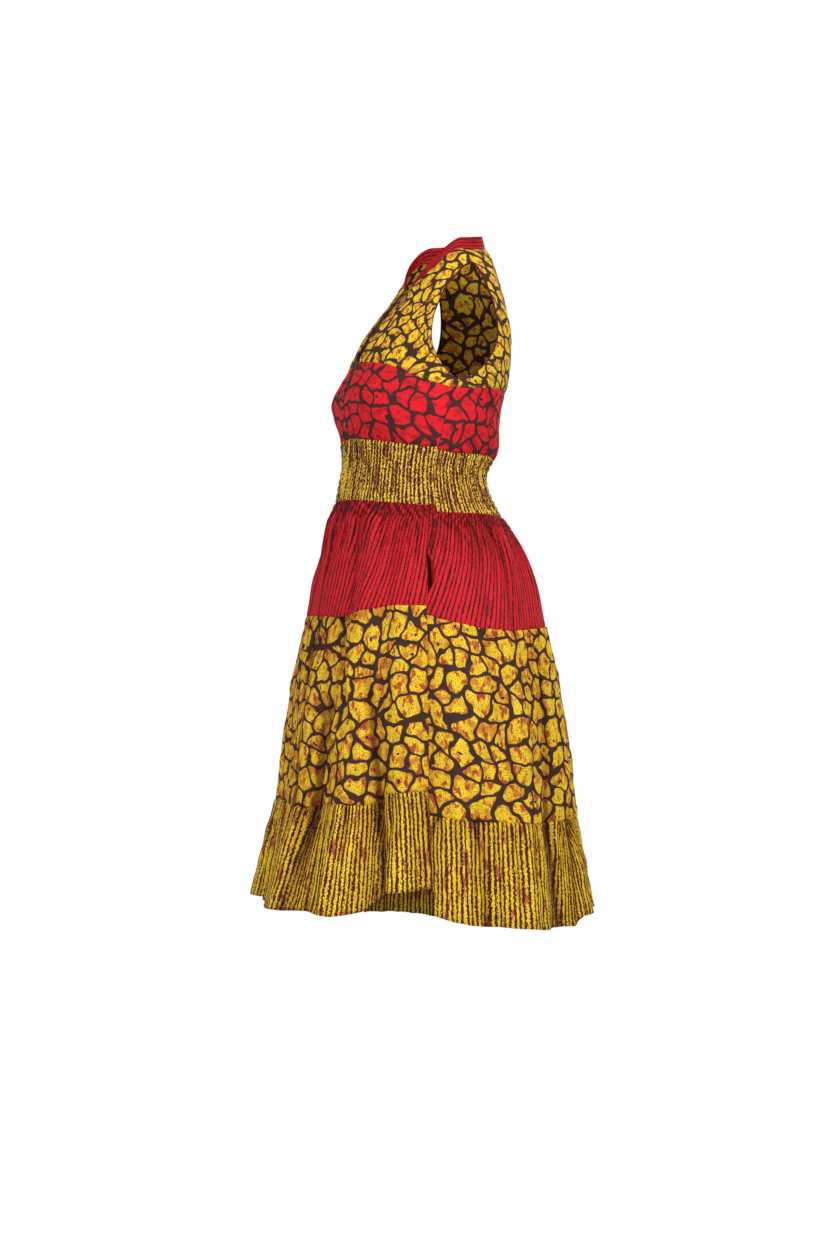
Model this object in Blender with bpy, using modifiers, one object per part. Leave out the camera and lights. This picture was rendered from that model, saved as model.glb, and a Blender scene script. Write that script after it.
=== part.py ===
"""Sleeveless smock dress in its worn, hollow form.

Frame: +Z up, the front of the dress faces -Y and its left side is +X. The origin is the middle of the
neck, where the dress is held up. Sizes in the tables are millimetres; the meshes are metres.

Every panel lies on one surface, which goes round the dress by angle (0 at the centre front, 90 at the
left side, 180 at the centre back) and down it by station (0 at the neck, 18 at the hem).
"""

import math

import bmesh
import bpy
import numpy as np
from mathutils import Matrix

NAME = "smock_dress"
MM = 0.001

# Cloth walls and the clearance that sewn pieces keep, in mm
WALL = 2.0
COLLAR_WALL = 1.6
TAPE_WALL = 1.0
BAG_WALL = 1.0
SEAM_GAP = 0.3
SIDE_SEAM_GAP = 0.9

# Sections down the dress: the front, side and back points of each, in mm
SECTIONS = (
    # front_y, front_z, side_x, side_y, side_z, back_y, back_z
    (-62, -33, 60, 0, 28, 62, 38),      # 0 neck
    (-72, -45, 83, 4, 11, 74, 16),
    (-88, -63, 106, 2, -38, 88, -30),   # 2 shoulder slope
    (-117, -97, 132, -10, -95, 101, -85),
    (-138, -128, 150, -26, -148, 103, -140),
    (-153, -157, 161, -42, -198, 96, -195),  # 5 seam of the yoke
    (-184, -215, 165, -49, -225, 90, -232),
    (-183, -245, 164, -50, -255, 85, -268),
    (-171, -284, 155, -50, -298, 76, -311),  # 8 top of the shirred waist
    (-169, -333, 148, -56, -343, 56, -352),
    (-179, -383, 158, -52, -393, 75, -404),  # 10 foot of the shirred waist
    (-190, -415, 172, -46, -425, 98, -435),
    (-209, -500, 210, -37, -503, 134, -505),
    (-226, -580, 235, -36, -585, 153, -590),  # 13 foot of the upper tier
    (-246, -665, 254, -35, -672, 174, -680),
    (-262, -765, 272, -35, -775, 192, -785),
    (-275, -876, 285, -36, -890, 204, -900),  # 16 foot of the middle tier
    (-294, -950, 300, -39, -965, 216, -976),
    (-313, -1032, 314, -42, -1050, 228, -1060),  # 18 hem
)

# Skirt folds: each row is the crest or the bottom of one, with how far it stands out in mm
FOLDS = (
    # angle, out at the middle tier's foot, out at the hem
    (-166, 6, 12),
    (-153, -9, -13),
    (-139, 7, 12),
    (-124, -8, -14),
    (-109, 6, 13),
    (-94, -9, -12),
    (-79, 7, 12),
    (-64, -9, -15),
    (-50, 6, 12),
    (-36, -7, -12),
    (-24, 2, 5),
    (-8, -8, -16),
    (8, 3, 13),
    (21, -10, -14),
    (34, 8, 14),
    (45, -12, -16),
    (56, 6, 13),
    (66, -13, -11),
    (76, 3, 8),
    (90, 0, -4),
    (104, 4, 8),
    (119, -11, -17),
    (134, 4, 11),
    (150, -1, -2),
    (165, 6, 11),
    (180, -7, -12),
)
FOLD_START = 10.4
FOLD_MIDDLE = 16.0
FOLD_END = 18.0
FOLD_GROWTH = 1.3

# Bust cups: how far the centre front lies back between them, in mm, and where
CUP_DEPTH = 6.0
CUP_ANGLE = 33.0
CUP_STATION = 6.4
CUP_REACH = 1.7

# The side seams: the angle of each at a station
LEFT_SEAM = (
    # station, angle
    (0, 90), (5.5, 90), (7.4, 82), (8.2, 79), (10.62, 77),
    (11.1, 71), (11.7, 65), (12.7, 64), (15.9, 65.5), (18, 69),
)
RIGHT_SEAM = (
    # station, angle
    (0, -90), (8.2, -90), (18, -94),
)
LEFT_COLUMN = 66
RIGHT_COLUMN = -94
SEAM_DRAW = 55.0

# Seams that go round: the station of each at an angle, on the front and on the back
YOKE_LINE = (
    ((-90, 5.4), (-45, 5.15), (0, 5.1), (36, 5.08), (56, 5.2), (70, 5.3), (90, 5.5)),
    ((90, 5.5), (135, 5.35), (180, 5.3), (225, 5.35), (270, 5.4)),
)
WAIST_TOP_LINE = (
    ((-92, 8.2), (0, 8.06), (41, 8.15), (80, 8.22)),
    ((79, 8.3), (96, 8.42), (135, 8.3), (180, 8.3), (268, 8.2)),
)
WAIST_FOOT_LINE = (
    ((-92, 10.25), (0, 10.07), (39, 10.15), (77, 10.2)),
    ((77, 10.62), (97, 10.62), (140, 10.5), (180, 10.4), (268, 10.25)),
)
UPPER_FOOT_LINE = (
    ((-94, 13.0), (-15, 12.92), (17, 12.95), (31, 12.82), (46, 12.7), (66, 12.68)),
    ((64, 12.86), (72, 12.95), (90, 13.1), (107, 13.15), (142, 13.05), (180, 13.05), (266, 13.0)),
)
MIDDLE_FOOT_LINE = (
    ((-94, 16.05), (-11, 15.97), (10, 16.03), (22, 15.92), (42, 15.85), (50, 15.66), (66, 15.6)),
    ((64, 15.93), (82, 16.0), (112, 16.08), (142, 16.02), (180, 16.05), (266, 16.05)),
)
HEM_LINE = (
    (
        (-94, 18.35), (-60, 18.3), (-24, 17.88), (-8, 17.92), (12, 18.0),
        (36, 17.95), (45, 17.75), (52, 17.42), (70, 17.3),
    ),
    ((66, 17.7), (80, 17.85), (95, 17.9), (118, 17.95), (150, 17.88), (180, 18.0), (225, 18.3), (266, 18.35)),
)

# Neckline, armhole and centre front edges of the yoke
NECK_LINE = (
    # angle from the centre front, station
    (0, 0.55), (36, 0.68), (51, 0.72), (68, 0.62), (90, 0.42), (180, 0.4),
)
SHOULDER_ANGLE = 92
FRONT_NECK_ANGLES = (SHOULDER_ANGLE, 68, 44, 24)
SHOULDER_POINT = (1.35, 94)
ARMHOLE = (
    # station, angle in front, angle behind
    (1.9, 67, 108), (2.7, 58.5, 116), (3.5, 59.5, 118), (4.15, 65, 113), (4.65, 75, 103), (4.93, 84, 95),
)
UNDERARM = 5.02
CENTRE_EDGE = (
    # station, distance from the centre in mm
    (0.55, 12), (2, 9.5), (3.5, 7), (4.6, 5.6), (5.1, 5.2), (5.6, 4.2), (8.1, 4.0),
)
YOKE_EDGE_STATIONS = (1.7, 2.85, 4.0)
YOKE_FOOT_STATION = 5.1
YOKE_DRAW_STATION = 5.3

# Stand collar: its height at an angle from the centre front, in mm, and its lean inwards
COLLAR_HEIGHT = (
    (0, 5), (9, 6), (24, 11), (40, 14.5), (68, 16), (95, 19), (180, 22),
)
COLLAR_LEAN = 14.0

# Pockets in the side seams, in stations, mm and degrees
POCKET_TOP = 11.5
POCKET_FOOT = 12.62
POCKET_MOUTH = 17.0
RIGHT_POCKET_MOUTH = 13.0
MOUTH_REACH = 20.0
POCKET_SECTIONS = (
    # along the bag, middle station, half height in stations, bag depth in mm
    (0.0, 12.06, 0.56, 0.0),
    (0.18, 12.14, 0.68, 17.0),
    (0.45, 12.26, 0.86, 25.0),
    (0.75, 12.42, 0.95, 22.0),
    (1.0, 12.5, 0.72, 9.0),
)
POCKET_REACH = 27.0
POCKET_GAP = 1.8
POCKET_LAP = 1.3
POCKET_FRONT_LAP = 0.9
POCKET_SIDES = 14

# Zip, in stations and mm
ZIP_TAPE_WIDTH = 14.0
TAPE_GAP = 0.4
# Levels count the front's rows from the yoke's last row but one; level 1 is the yoke's foot
ZIP_TAPE_LEVELS = (0.5, 1, 2, 3, 4, 4.95)
ZIP_CHAIN_LEVELS = (0.92, 1, 2, 3, 4, 4.95)
ZIP_CHAIN_HALF_WIDTH = 2.5
ZIP_CHAIN_PROUD = 0.5
ZIP_CHAIN_DEPTH = 2.3
SLIDER_STATION = 4.8
SLIDER_SIZE = (8.6, 11.0, 4.6)
SLIDER_BACK = -1.9
# The slider's bridge is an arch, and the pull hangs on a round bar under it
BRIDGE_WIDTH = 2.2
BRIDGE_LENGTH = 5.2
BRIDGE_HEIGHT = 2.8
BRIDGE_POST = 1.1
BRIDGE_ROOF = 0.8
BRIDGE_SUNK = 0.5
HINGE_RISE = 2.0
PULL_WIDTH = 6.6
PULL_NECK_WIDTH = 4.8
PULL_LENGTH = 27.0
PULL_NECK_AT = 11.3
PULL_SHOULDER = 1.5
PULL_THICKNESS = 1.4
PULL_EYE_END = 0.6
PULL_EYE_DEPTH = 4.2
PULL_CLEARANCE = 0.35
PULL_BAR_RADIUS = 0.6
PULL_BAR_SIDES = 16
PULL_BAR_SUNK = 0.6
ROUND_END_STEPS = 8
EDGE_BEVEL = 0.4

# Rows of faces down each band, and how often a band's rows are fitted to its lines
SETTLE_STEPS = 6
BUST_ROWS = 4
WAIST_ROWS = 4
UPPER_FRONT_STATIONS = (10.62, 11.1, 11.7, 12.2)
UPPER_BACK_STATIONS = (11.1, 11.7, 12.2)
MIDDLE_ROWS = 5
FLOUNCE_ROWS = 4

# Colours: red, green, blue and roughness
COLOURS = {
    "red_stripe": ((0.60, 0.035, 0.03), 0.75),
    "red_pebble": ((0.66, 0.03, 0.03), 0.75),
    "yellow_pebble": ((0.72, 0.45, 0.03), 0.75),
    "yellow_stripe": ((0.55, 0.36, 0.04), 0.75),
    "zip_tape": ((0.02, 0.02, 0.02), 0.8),
    "zip_metal": ((0.30, 0.27, 0.22), 0.35),
}


def clear_scene():
    for obj in list(bpy.data.objects):
        bpy.data.objects.remove(obj, do_unlink=True)


def material(name):
    found = bpy.data.materials.get(name)
    if found:
        return found
    colour, roughness = COLOURS[name]
    made = bpy.data.materials.new(name)
    made.use_nodes = True
    shader = made.node_tree.nodes["Principled BSDF"]
    shader.inputs["Base Color"].default_value = (*colour, 1.0)
    shader.inputs["Roughness"].default_value = roughness
    shader.inputs["Metallic"].default_value = 1.0 if name == "zip_metal" else 0.0
    return made


def read_row(rows, value):
    """The second column of a table at a value of its first, on straight lines between rows."""
    first = [row[0] for row in rows]
    second = [row[1] for row in rows]
    return np.interp(value, first, second)


def section_at(station):
    """The seven section sizes at any station, on a smooth curve through the table."""
    table = np.array(SECTIONS, float)
    last = len(table) - 1
    station = np.asarray(station, float)
    low = np.clip(np.floor(station).astype(int), 0, last - 1)
    part = (station - low)[..., None]
    before = table[np.clip(low - 1, 0, last)]
    here = table[low]
    after = table[low + 1]
    beyond = table[np.clip(low + 2, 0, last)]
    linear = (after - before) * part
    square = (2 * before - 5 * here + 4 * after - beyond) * part**2
    cube = (3 * here - before - 3 * after + beyond) * part**3
    return 0.5 * (2 * here + linear + square + cube)


def fold_out(station, angle):
    """How far the skirt's folds stand out of the plain section, in mm."""
    angles = [row[0] for row in FOLDS]
    angles = np.array([angles[-1] - 360] + angles)
    middle = np.array([FOLDS[-1][1]] + [row[1] for row in FOLDS], float)
    hem = np.array([FOLDS[-1][2]] + [row[2] for row in FOLDS], float)
    wrapped = (np.asarray(angle, float) + 180) % 360 - 180
    index = np.clip(np.searchsorted(angles, wrapped, side="right") - 1, 0, len(angles) - 2)
    across = (wrapped - angles[index]) / (angles[index + 1] - angles[index])
    eased = 0.5 - 0.5 * np.cos(np.pi * across)
    at_middle = middle[index] + (middle[index + 1] - middle[index]) * eased
    at_hem = hem[index] + (hem[index + 1] - hem[index]) * eased
    grown = np.clip((station - FOLD_START) / (FOLD_MIDDLE - FOLD_START), 0, 1) ** FOLD_GROWTH
    flared = np.clip((station - FOLD_MIDDLE) / (FOLD_END - FOLD_MIDDLE), 0, 1.2)
    return at_middle * grown * (1 - flared) + at_hem * flared


def cup_out(station, angle):
    """How far the bust stands out at its cups, and lies back between them, in mm."""
    wrapped = (np.asarray(angle, float) + 180) % 360 - 180
    level = np.clip(1 - np.abs(station - CUP_STATION) / CUP_REACH, 0, 1)
    level = level * level * (3 - 2 * level)
    across = np.clip(np.abs(wrapped) / CUP_ANGLE, 0, 2)
    return -CUP_DEPTH * level * 0.5 * (1 + np.cos(np.pi * across))


def surface(station, angle):
    """Points of the dress's outside, in mm."""
    station, angle = np.broadcast_arrays(np.asarray(station, float), np.asarray(angle, float))
    front_y, front_z, side_x, side_y, side_z, back_y, back_z = np.moveaxis(section_at(station), -1, 0)
    turn = np.radians(angle)
    ahead = np.cos(turn)
    out = fold_out(station, angle) + cup_out(station, angle)
    in_front = ahead > 0
    x = side_x * np.sin(turn)
    y = side_y + np.where(in_front, front_y - side_y, side_y - back_y) * ahead
    z = side_z + np.where(in_front, front_z - side_z, back_z - side_z) * ahead**2
    return np.stack([x + out * np.sin(turn), y - out * ahead, z], axis=-1)


def surface_normal(station, angle):
    small_station = 0.02
    small_angle = 0.5
    down = surface(station + small_station, angle) - surface(station - small_station, angle)
    along = surface(station, angle + small_angle) - surface(station, angle - small_angle)
    normal = np.cross(down, along)
    return normal / np.linalg.norm(normal, axis=-1, keepdims=True)


def columns():
    """Angles of the face columns: each fold's crest and bottom, and the middles between them."""
    knots = [row[0] for row in FOLDS]
    knots.append(knots[0] + 360)
    middles = [(a + b) / 2 for a, b in zip(knots, knots[1:])]
    return np.array(sorted(knots[:-1] + middles))


def columns_between(low, high):
    """The columns from one angle to another, which may pass the centre back."""
    every = np.concatenate([columns(), columns() + 360])
    inside = every[(every > low + 0.01) & (every < high - 0.01)]
    return np.concatenate([[low], inside, [high]])


def drawn(angle, station):
    """Column angles moved sideways so that the seam columns follow the side seams."""
    left = read_row(LEFT_SEAM, station) - LEFT_COLUMN
    right = read_row(RIGHT_SEAM, station) - RIGHT_COLUMN
    near_left = np.clip(1 - np.abs(angle - LEFT_COLUMN) / SEAM_DRAW, 0, 1)
    away = np.minimum(np.abs(angle - RIGHT_COLUMN), np.abs(angle - RIGHT_COLUMN - 360))
    near_right = np.clip(1 - away / SEAM_DRAW, 0, 1)
    return angle + left * near_left + right * near_right


def inset(points, side_gap=SEAM_GAP):
    """Draws the edges of a grid of points in by half of the seams' gaps."""
    moved = points.copy()
    edges = (
        (np.s_[0, :], np.s_[1, :], SEAM_GAP),
        (np.s_[-1, :], np.s_[-2, :], SEAM_GAP),
        (np.s_[:, 0], np.s_[:, 1], side_gap),
        (np.s_[:, -1], np.s_[:, -2], side_gap),
    )
    for edge, inner, gap in edges:
        inward = points[inner] - points[edge]
        moved[edge] += gap / 2 * inward / np.linalg.norm(inward, axis=-1, keepdims=True)
    return moved


def add_object(name, mesh, material_name, collection):
    obj = bpy.data.objects.new(name, mesh)
    obj.data.materials.append(material(material_name))
    collection.objects.link(obj)
    return obj


def wall_mesh(name, outer, inner):
    """A closed wall between two grids of points, whose rows go down and columns go round leftwards."""
    rows, cols = outer.shape[:2]
    mesh = bpy.data.meshes.new(name)
    work = bmesh.new()
    sides = []
    for grid in (outer, inner):
        sides.append([[work.verts.new(grid[r, c] * MM) for c in range(cols)] for r in range(rows)])
    front, back = sides
    for r in range(rows - 1):
        for c in range(cols - 1):
            work.faces.new((front[r][c], front[r + 1][c], front[r + 1][c + 1], front[r][c + 1]))
            work.faces.new((back[r][c], back[r][c + 1], back[r + 1][c + 1], back[r + 1][c]))
    rim = [(0, c) for c in range(cols)] + [(r, cols - 1) for r in range(1, rows)]
    rim += [(rows - 1, c) for c in range(cols - 2, -1, -1)] + [(r, 0) for r in range(rows - 2, 0, -1)]
    for (r0, c0), (r1, c1) in zip(rim, rim[1:] + rim[:1]):
        work.faces.new((front[r0][c0], front[r1][c1], back[r1][c1], back[r0][c0]))
    work.to_mesh(mesh)
    work.free()
    mesh.shade_smooth()
    mesh.set_sharp_from_angle(angle=math.radians(50))
    return mesh


def cloth(name, station, angle, material_name, collection, side_gap=SEAM_GAP):
    """A panel of the surface between grids of stations and angles."""
    normal = surface_normal(station, angle)
    outer = inset(surface(station, angle), side_gap)
    return add_object(name, wall_mesh(name, outer, outer - WALL * normal), material_name, collection)


def mouth_opening(station, mouth):
    """Half of a pocket mouth's spread at a station, in mm."""
    along = np.clip((station - POCKET_TOP) / (POCKET_FOOT - POCKET_TOP), 0, 1)
    return mouth * np.sin(np.pi * along) ** 2


def to_degrees(length, station):
    """A short length round the side of the dress as an angle."""
    return np.degrees(length / section_at(station)[..., 2])


def band(name, top, foot, rows, material_name, collection, back=False):
    """A band of the dress between two lines that go round it, on the front or on the back.

    Rows are a count of rows evenly apart, or the stations of the rows between the two lines.
    """
    side = 1 if back else 0
    ends = (LEFT_COLUMN, RIGHT_COLUMN + 360) if back else (RIGHT_COLUMN, LEFT_COLUMN)
    column = columns_between(*ends)
    even = isinstance(rows, int)
    down = np.linspace(0, 1, rows + 1 if even else len(rows) + 2)[:, None]
    station = top[side][0][1] + (foot[side][0][1] - top[side][0][1]) * down
    for _ in range(SETTLE_STEPS):
        angle = drawn(column[None, :], station)
        high_line = read_row(top[side], angle)
        low_line = read_row(foot[side], angle)
        station = high_line + (low_line - high_line) * down
        if not even:
            station[1:-1] = np.array(rows)[:, None]
    angle = drawn(column[None, :], station)
    if back:
        from_left = np.clip(1 - (column - LEFT_COLUMN) / MOUTH_REACH, 0, 1)
        from_right = np.clip(1 - (RIGHT_COLUMN + 360 - column) / MOUTH_REACH, 0, 1)
        angle = angle + to_degrees(mouth_opening(station, POCKET_MOUTH), station) * from_left
        angle = angle - to_degrees(mouth_opening(station, RIGHT_POCKET_MOUTH), station) * from_right
    return cloth(name, station, angle, material_name, collection, side_gap=SIDE_SEAM_GAP)


def bust_grid(side):
    """Stations and angles of half of the front bust band, from the zip to the side seam."""
    column = columns_between(0, LEFT_COLUMN) if side > 0 else columns_between(RIGHT_COLUMN, 0)
    down = np.linspace(0, 1, BUST_ROWS + 1)[:, None]
    station = np.full((BUST_ROWS + 1, len(column)), CUP_STATION)
    for _ in range(SETTLE_STEPS):
        angle = drawn(column[None, :], station)
        top = read_row(YOKE_LINE[0], angle)
        foot = read_row(WAIST_TOP_LINE[0], angle)
        station = top + (foot - top) * down
    centre = 0 if side > 0 else -1
    angle[:, centre] = side * edge_angle(station[:, centre])
    return station, angle


def edge_angle(station):
    """The angle of the centre front edges at a station."""
    return np.degrees(np.arcsin(read_row(CENTRE_EDGE, station) / section_at(station)[..., 2]))


def neck_station(angle):
    wrapped = (np.asarray(angle, float) + 180) % 360 - 180
    return read_row(NECK_LINE, np.abs(wrapped))


def yoke_grid(side):
    """Stations and angles of half of the front yoke: rows go from the shoulder seam to the yoke's foot."""
    column = columns_between(0, LEFT_COLUMN) if side > 0 else columns_between(RIGHT_COLUMN, 0)
    foot_angle = np.abs(drawn(column, YOKE_DRAW_STATION))
    foot_angle[0 if side > 0 else -1] = edge_angle(YOKE_FOOT_STATION)
    foot_angle = np.sort(foot_angle)
    across = (foot_angle - foot_angle[0]) / (foot_angle[-1] - foot_angle[0])
    neck_corner = NECK_LINE[0][1]
    inner_edge = [(float(neck_station(a)), a) for a in FRONT_NECK_ANGLES]
    inner_edge.append((neck_corner, float(edge_angle(neck_corner))))
    inner_edge += [(t, float(edge_angle(t))) for t in YOKE_EDGE_STATIONS]
    outer_edge = [SHOULDER_POINT] + [(t, front) for t, front, _ in ARMHOLE] + [(UNDERARM, 90)]
    station = []
    angle = []
    for (t0, a0), (t1, a1) in zip(inner_edge, outer_edge):
        station.append(t0 + (t1 - t0) * across)
        angle.append(a0 + (a1 - a0) * across)
    station.append(read_row(YOKE_LINE[0], side * foot_angle))
    angle.append(foot_angle)
    station = np.array(station)
    angle = side * np.array(angle)
    return (station, angle) if side > 0 else (station[:, ::-1], angle[:, ::-1])


def front_yoke(name, side, collection):
    """Half of the front yoke, whose shoulder seam is straight."""
    station, angle = yoke_grid(side)
    normal = surface_normal(station, angle)
    outer = surface(station, angle)
    share = np.linspace(0, 1, outer.shape[1])[:, None]
    outer[0] = outer[0, 0] + (outer[0, -1] - outer[0, 0]) * share
    normal[0] = normal[0, 0] + (normal[0, -1] - normal[0, 0]) * share
    outer = inset(outer)
    return add_object(name, wall_mesh(name, outer, outer - WALL * normal), "yellow_pebble", collection)


def centre_points(side, level, distance):
    """Points and normals beside the centre front, on the flat faces of the yoke and the bust band.

    Level counts rows: 0 is the yoke's last row but one, 1 its foot and the top of the bust band.
    Distance is from the centre front, in mm.
    """
    grids = (yoke_grid(side), bust_grid(side))
    station = np.concatenate([grids[0][0][-2:-1], grids[1][0]])
    angle = np.concatenate([grids[0][1][-2:-1], grids[1][1]])
    pair = np.s_[:, :2] if side > 0 else np.s_[:, :-3:-1]
    points = surface(station[pair], angle[pair])
    normals = surface_normal(station[pair], angle[pair])
    rows = np.arange(len(points))
    found = []
    for grid in (points, normals):
        edge = np.stack([np.interp(level, rows, grid[:, 0, k]) for k in range(3)], axis=-1)
        inner = np.stack([np.interp(level, rows, grid[:, 1, k]) for k in range(3)], axis=-1)
        found.append((edge, inner))
    (edge, inner), (edge_normal, inner_normal) = found
    share = (side * distance - edge[:, :1]) / (inner[:, :1] - edge[:, :1])
    return edge + (inner - edge) * share, edge_normal + (inner_normal - edge_normal) * share


def back_yoke(collection):
    """The back yoke: rows go down from the neckline, ending on the armholes and side seams."""
    column = drawn(columns_between(LEFT_COLUMN, RIGHT_COLUMN + 360), YOKE_DRAW_STATION)
    across = (column - column[0]) / (column[-1] - column[0])
    ends = [(None, SHOULDER_ANGLE), SHOULDER_POINT]
    ends += [(t, behind) for t, _, behind in ARMHOLE] + [(UNDERARM, 90)]
    station = []
    angle = []
    for t, start in ends:
        row_angle = start + (360 - 2 * start) * across
        angle.append(row_angle)
        station.append(neck_station(row_angle) if t is None else np.full(len(across), float(t)))
    station.append(read_row(YOKE_LINE[1], column))
    angle.append(column)
    return cloth("back_yoke", np.array(station), np.array(angle), "yellow_pebble", collection)


def collar(collection):
    """The stand collar, on the same points of the neckline as the yokes."""
    back_column = drawn(columns_between(LEFT_COLUMN, RIGHT_COLUMN + 360), YOKE_DRAW_STATION)
    across = (back_column - back_column[0]) / (back_column[-1] - back_column[0])
    behind = SHOULDER_ANGLE + (360 - 2 * SHOULDER_ANGLE) * across
    corner = float(edge_angle(NECK_LINE[0][1]))
    in_front = [corner] + sorted(FRONT_NECK_ANGLES)
    angle = np.array(in_front + list(behind[1:-1]) + [360 - a for a in reversed(in_front)])
    station = neck_station(angle)
    base = surface(station, angle)
    from_front = np.minimum(angle, 360 - angle)
    height = read_row(COLLAR_HEIGHT, from_front)[:, None]
    turn = np.radians(angle)
    outward = np.stack([np.sin(turn), -np.cos(turn), np.zeros(len(turn))], axis=-1)
    lean = math.radians(COLLAR_LEAN)
    upright = np.array([0, 0, math.cos(lean)]) - outward * math.sin(lean)
    facing = outward * math.cos(lean) + np.array([0, 0, math.sin(lean)])
    foot = base + upright * (SEAM_GAP + COLLAR_WALL * math.tan(lean))
    rows = np.array([1.0, 0.5, 0.0])[:, None, None]
    outer = foot[None] + upright[None] * height[None] * rows
    normal = np.repeat(facing[None], 3, axis=0)
    mesh = wall_mesh("collar", outer, outer - COLLAR_WALL * normal)
    return add_object("collar", mesh, "red_stripe", collection)


def pocket(name, side, mouth, collection):
    """A pocket bag: an open cup whose rim lies behind the two edges of the mouth in the side seam."""
    turns = np.linspace(0, 2 * np.pi, POCKET_SIDES, endpoint=False)
    rim_depth = WALL + POCKET_GAP
    work = bmesh.new()
    loops = []
    for along, middle, half, depth in POCKET_SECTIONS:
        station = middle + half * np.cos(turns)
        outside = 0.5 + 0.5 * np.sin(turns)
        seam = read_row(LEFT_SEAM, middle) if side > 0 else -read_row(RIGHT_SEAM, middle)
        spread = float(to_degrees(np.array(mouth), np.array(middle)))
        front_sheet = seam - POCKET_FRONT_LAP - (POCKET_REACH - POCKET_FRONT_LAP) * along
        back_sheet = seam + spread + POCKET_LAP - (POCKET_REACH + spread + POCKET_LAP) * along
        angle = side * (back_sheet + (front_sheet - back_sheet) * outside)
        inward = rim_depth + depth * (1 - outside)
        points = surface(station, angle) - inward[:, None] * surface_normal(station, angle)
        loops.append([work.verts.new(p * MM) for p in points])
    for upper, lower in zip(loops, loops[1:]):
        for k in range(POCKET_SIDES):
            n = (k + 1) % POCKET_SIDES
            work.faces.new((upper[k], upper[n], lower[n], lower[k]))
    work.faces.new(loops[-1])
    bmesh.ops.recalc_face_normals(work, faces=work.faces)
    mesh = bpy.data.meshes.new(name)
    work.to_mesh(mesh)
    work.free()
    mesh.shade_smooth()
    obj = add_object(name, mesh, "red_stripe", collection)
    return obj


def zip_tape(name, side, collection):
    """One tape of the zip, behind the centre front edge."""
    depth = WALL + TAPE_GAP
    edges = [centre_points(side, ZIP_TAPE_LEVELS, d) for d in (0.0, ZIP_TAPE_WIDTH / 2, ZIP_TAPE_WIDTH)]
    if side < 0:
        edges.reverse()
    outer = np.stack([points - depth * normals for points, normals in edges], axis=1)
    normal = np.stack([normals for _, normals in edges], axis=1)
    outer = inset(outer)
    return add_object(name, wall_mesh(name, outer, outer - TAPE_WALL * normal), "zip_tape", collection)


def zip_chain(collection):
    """The closed teeth as one strip down the centre front."""
    half = ZIP_CHAIN_HALF_WIDTH
    edges = [centre_points(-1, ZIP_CHAIN_LEVELS, half), centre_points(1, ZIP_CHAIN_LEVELS, half)]
    outer = np.stack([points + ZIP_CHAIN_PROUD * normals for points, normals in edges], axis=1)
    normal = np.stack([normals for _, normals in edges], axis=1)
    mesh = wall_mesh("zip_chain", outer, outer - ZIP_CHAIN_DEPTH * normal)
    return add_object("zip_chain", mesh, "zip_metal", collection)


def slider_frame():
    """A matrix at the slider: X across, Y up the front of the dress, Z out of the cloth."""
    here = surface(np.array(SLIDER_STATION), np.array(0.0))
    out = surface_normal(np.array(SLIDER_STATION), np.array(0.0))
    across = np.array([1.0, 0.0, 0.0])
    up = np.cross(out, across)
    frame = Matrix.Identity(4)
    for k, axis in enumerate((across, up, out)):
        for r in range(3):
            frame[r][k] = axis[r]
    for r in range(3):
        frame[r][3] = here[r] * MM
    return frame


def prism(name, outline, axis, low, high):
    """A solid of an outline, from low to high on an axis; the outline is in the two axes that follow it."""
    first, second = (axis + 1) % 3, (axis + 2) % 3
    work = bmesh.new()
    rings = []
    for level in (low, high):
        ring = []
        for pair in outline:
            place = [0.0, 0.0, 0.0]
            place[axis], place[first], place[second] = level * MM, pair[0] * MM, pair[1] * MM
            ring.append(work.verts.new(place))
        rings.append(ring)
    bottom, top = rings
    work.faces.new(list(reversed(bottom)))
    work.faces.new(top)
    for k in range(len(outline)):
        n = (k + 1) % len(outline)
        work.faces.new((bottom[k], bottom[n], top[n], top[k]))
    bmesh.ops.recalc_face_normals(work, faces=work.faces)
    mesh = bpy.data.meshes.new(name)
    work.to_mesh(mesh)
    work.free()
    return mesh


def cutters_collection():
    found = bpy.data.collections.get("cutters")
    if found:
        return found
    made = bpy.data.collections.new("cutters")
    bpy.context.scene.collection.children.link(made)
    made.hide_render = True
    return made


def join_to(obj, helper_mesh):
    """Joins a helper's solid, which isn't shown itself, to an object in the slider's frame."""
    helper = bpy.data.objects.new(helper_mesh.name, helper_mesh)
    helper.matrix_world = slider_frame()
    helper.hide_render = True
    helper.display_type = "WIRE"
    cutters_collection().objects.link(helper)
    joined = obj.modifiers.new(helper_mesh.name, "BOOLEAN")
    joined.operation = "UNION"
    joined.object = helper


def rectangle(width, height):
    x, y = width / 2, height / 2
    return [(-x, -y), (x, -y), (x, y), (-x, y)]


def bridge_outline(face):
    """The arch on the slider's face, seen from the side: up the dress, then out of the cloth."""
    low = HINGE_RISE - BRIDGE_LENGTH / 2
    high = HINGE_RISE + BRIDGE_LENGTH / 2
    root = face - BRIDGE_SUNK
    roof = face + BRIDGE_HEIGHT
    under = roof - BRIDGE_ROOF
    inner_low = low + BRIDGE_POST
    inner_high = high - BRIDGE_POST
    return [
        (low, root), (inner_low, root), (inner_low, under), (inner_high, under),
        (inner_high, root), (high, root), (high, roof), (low, roof),
    ]


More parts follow.
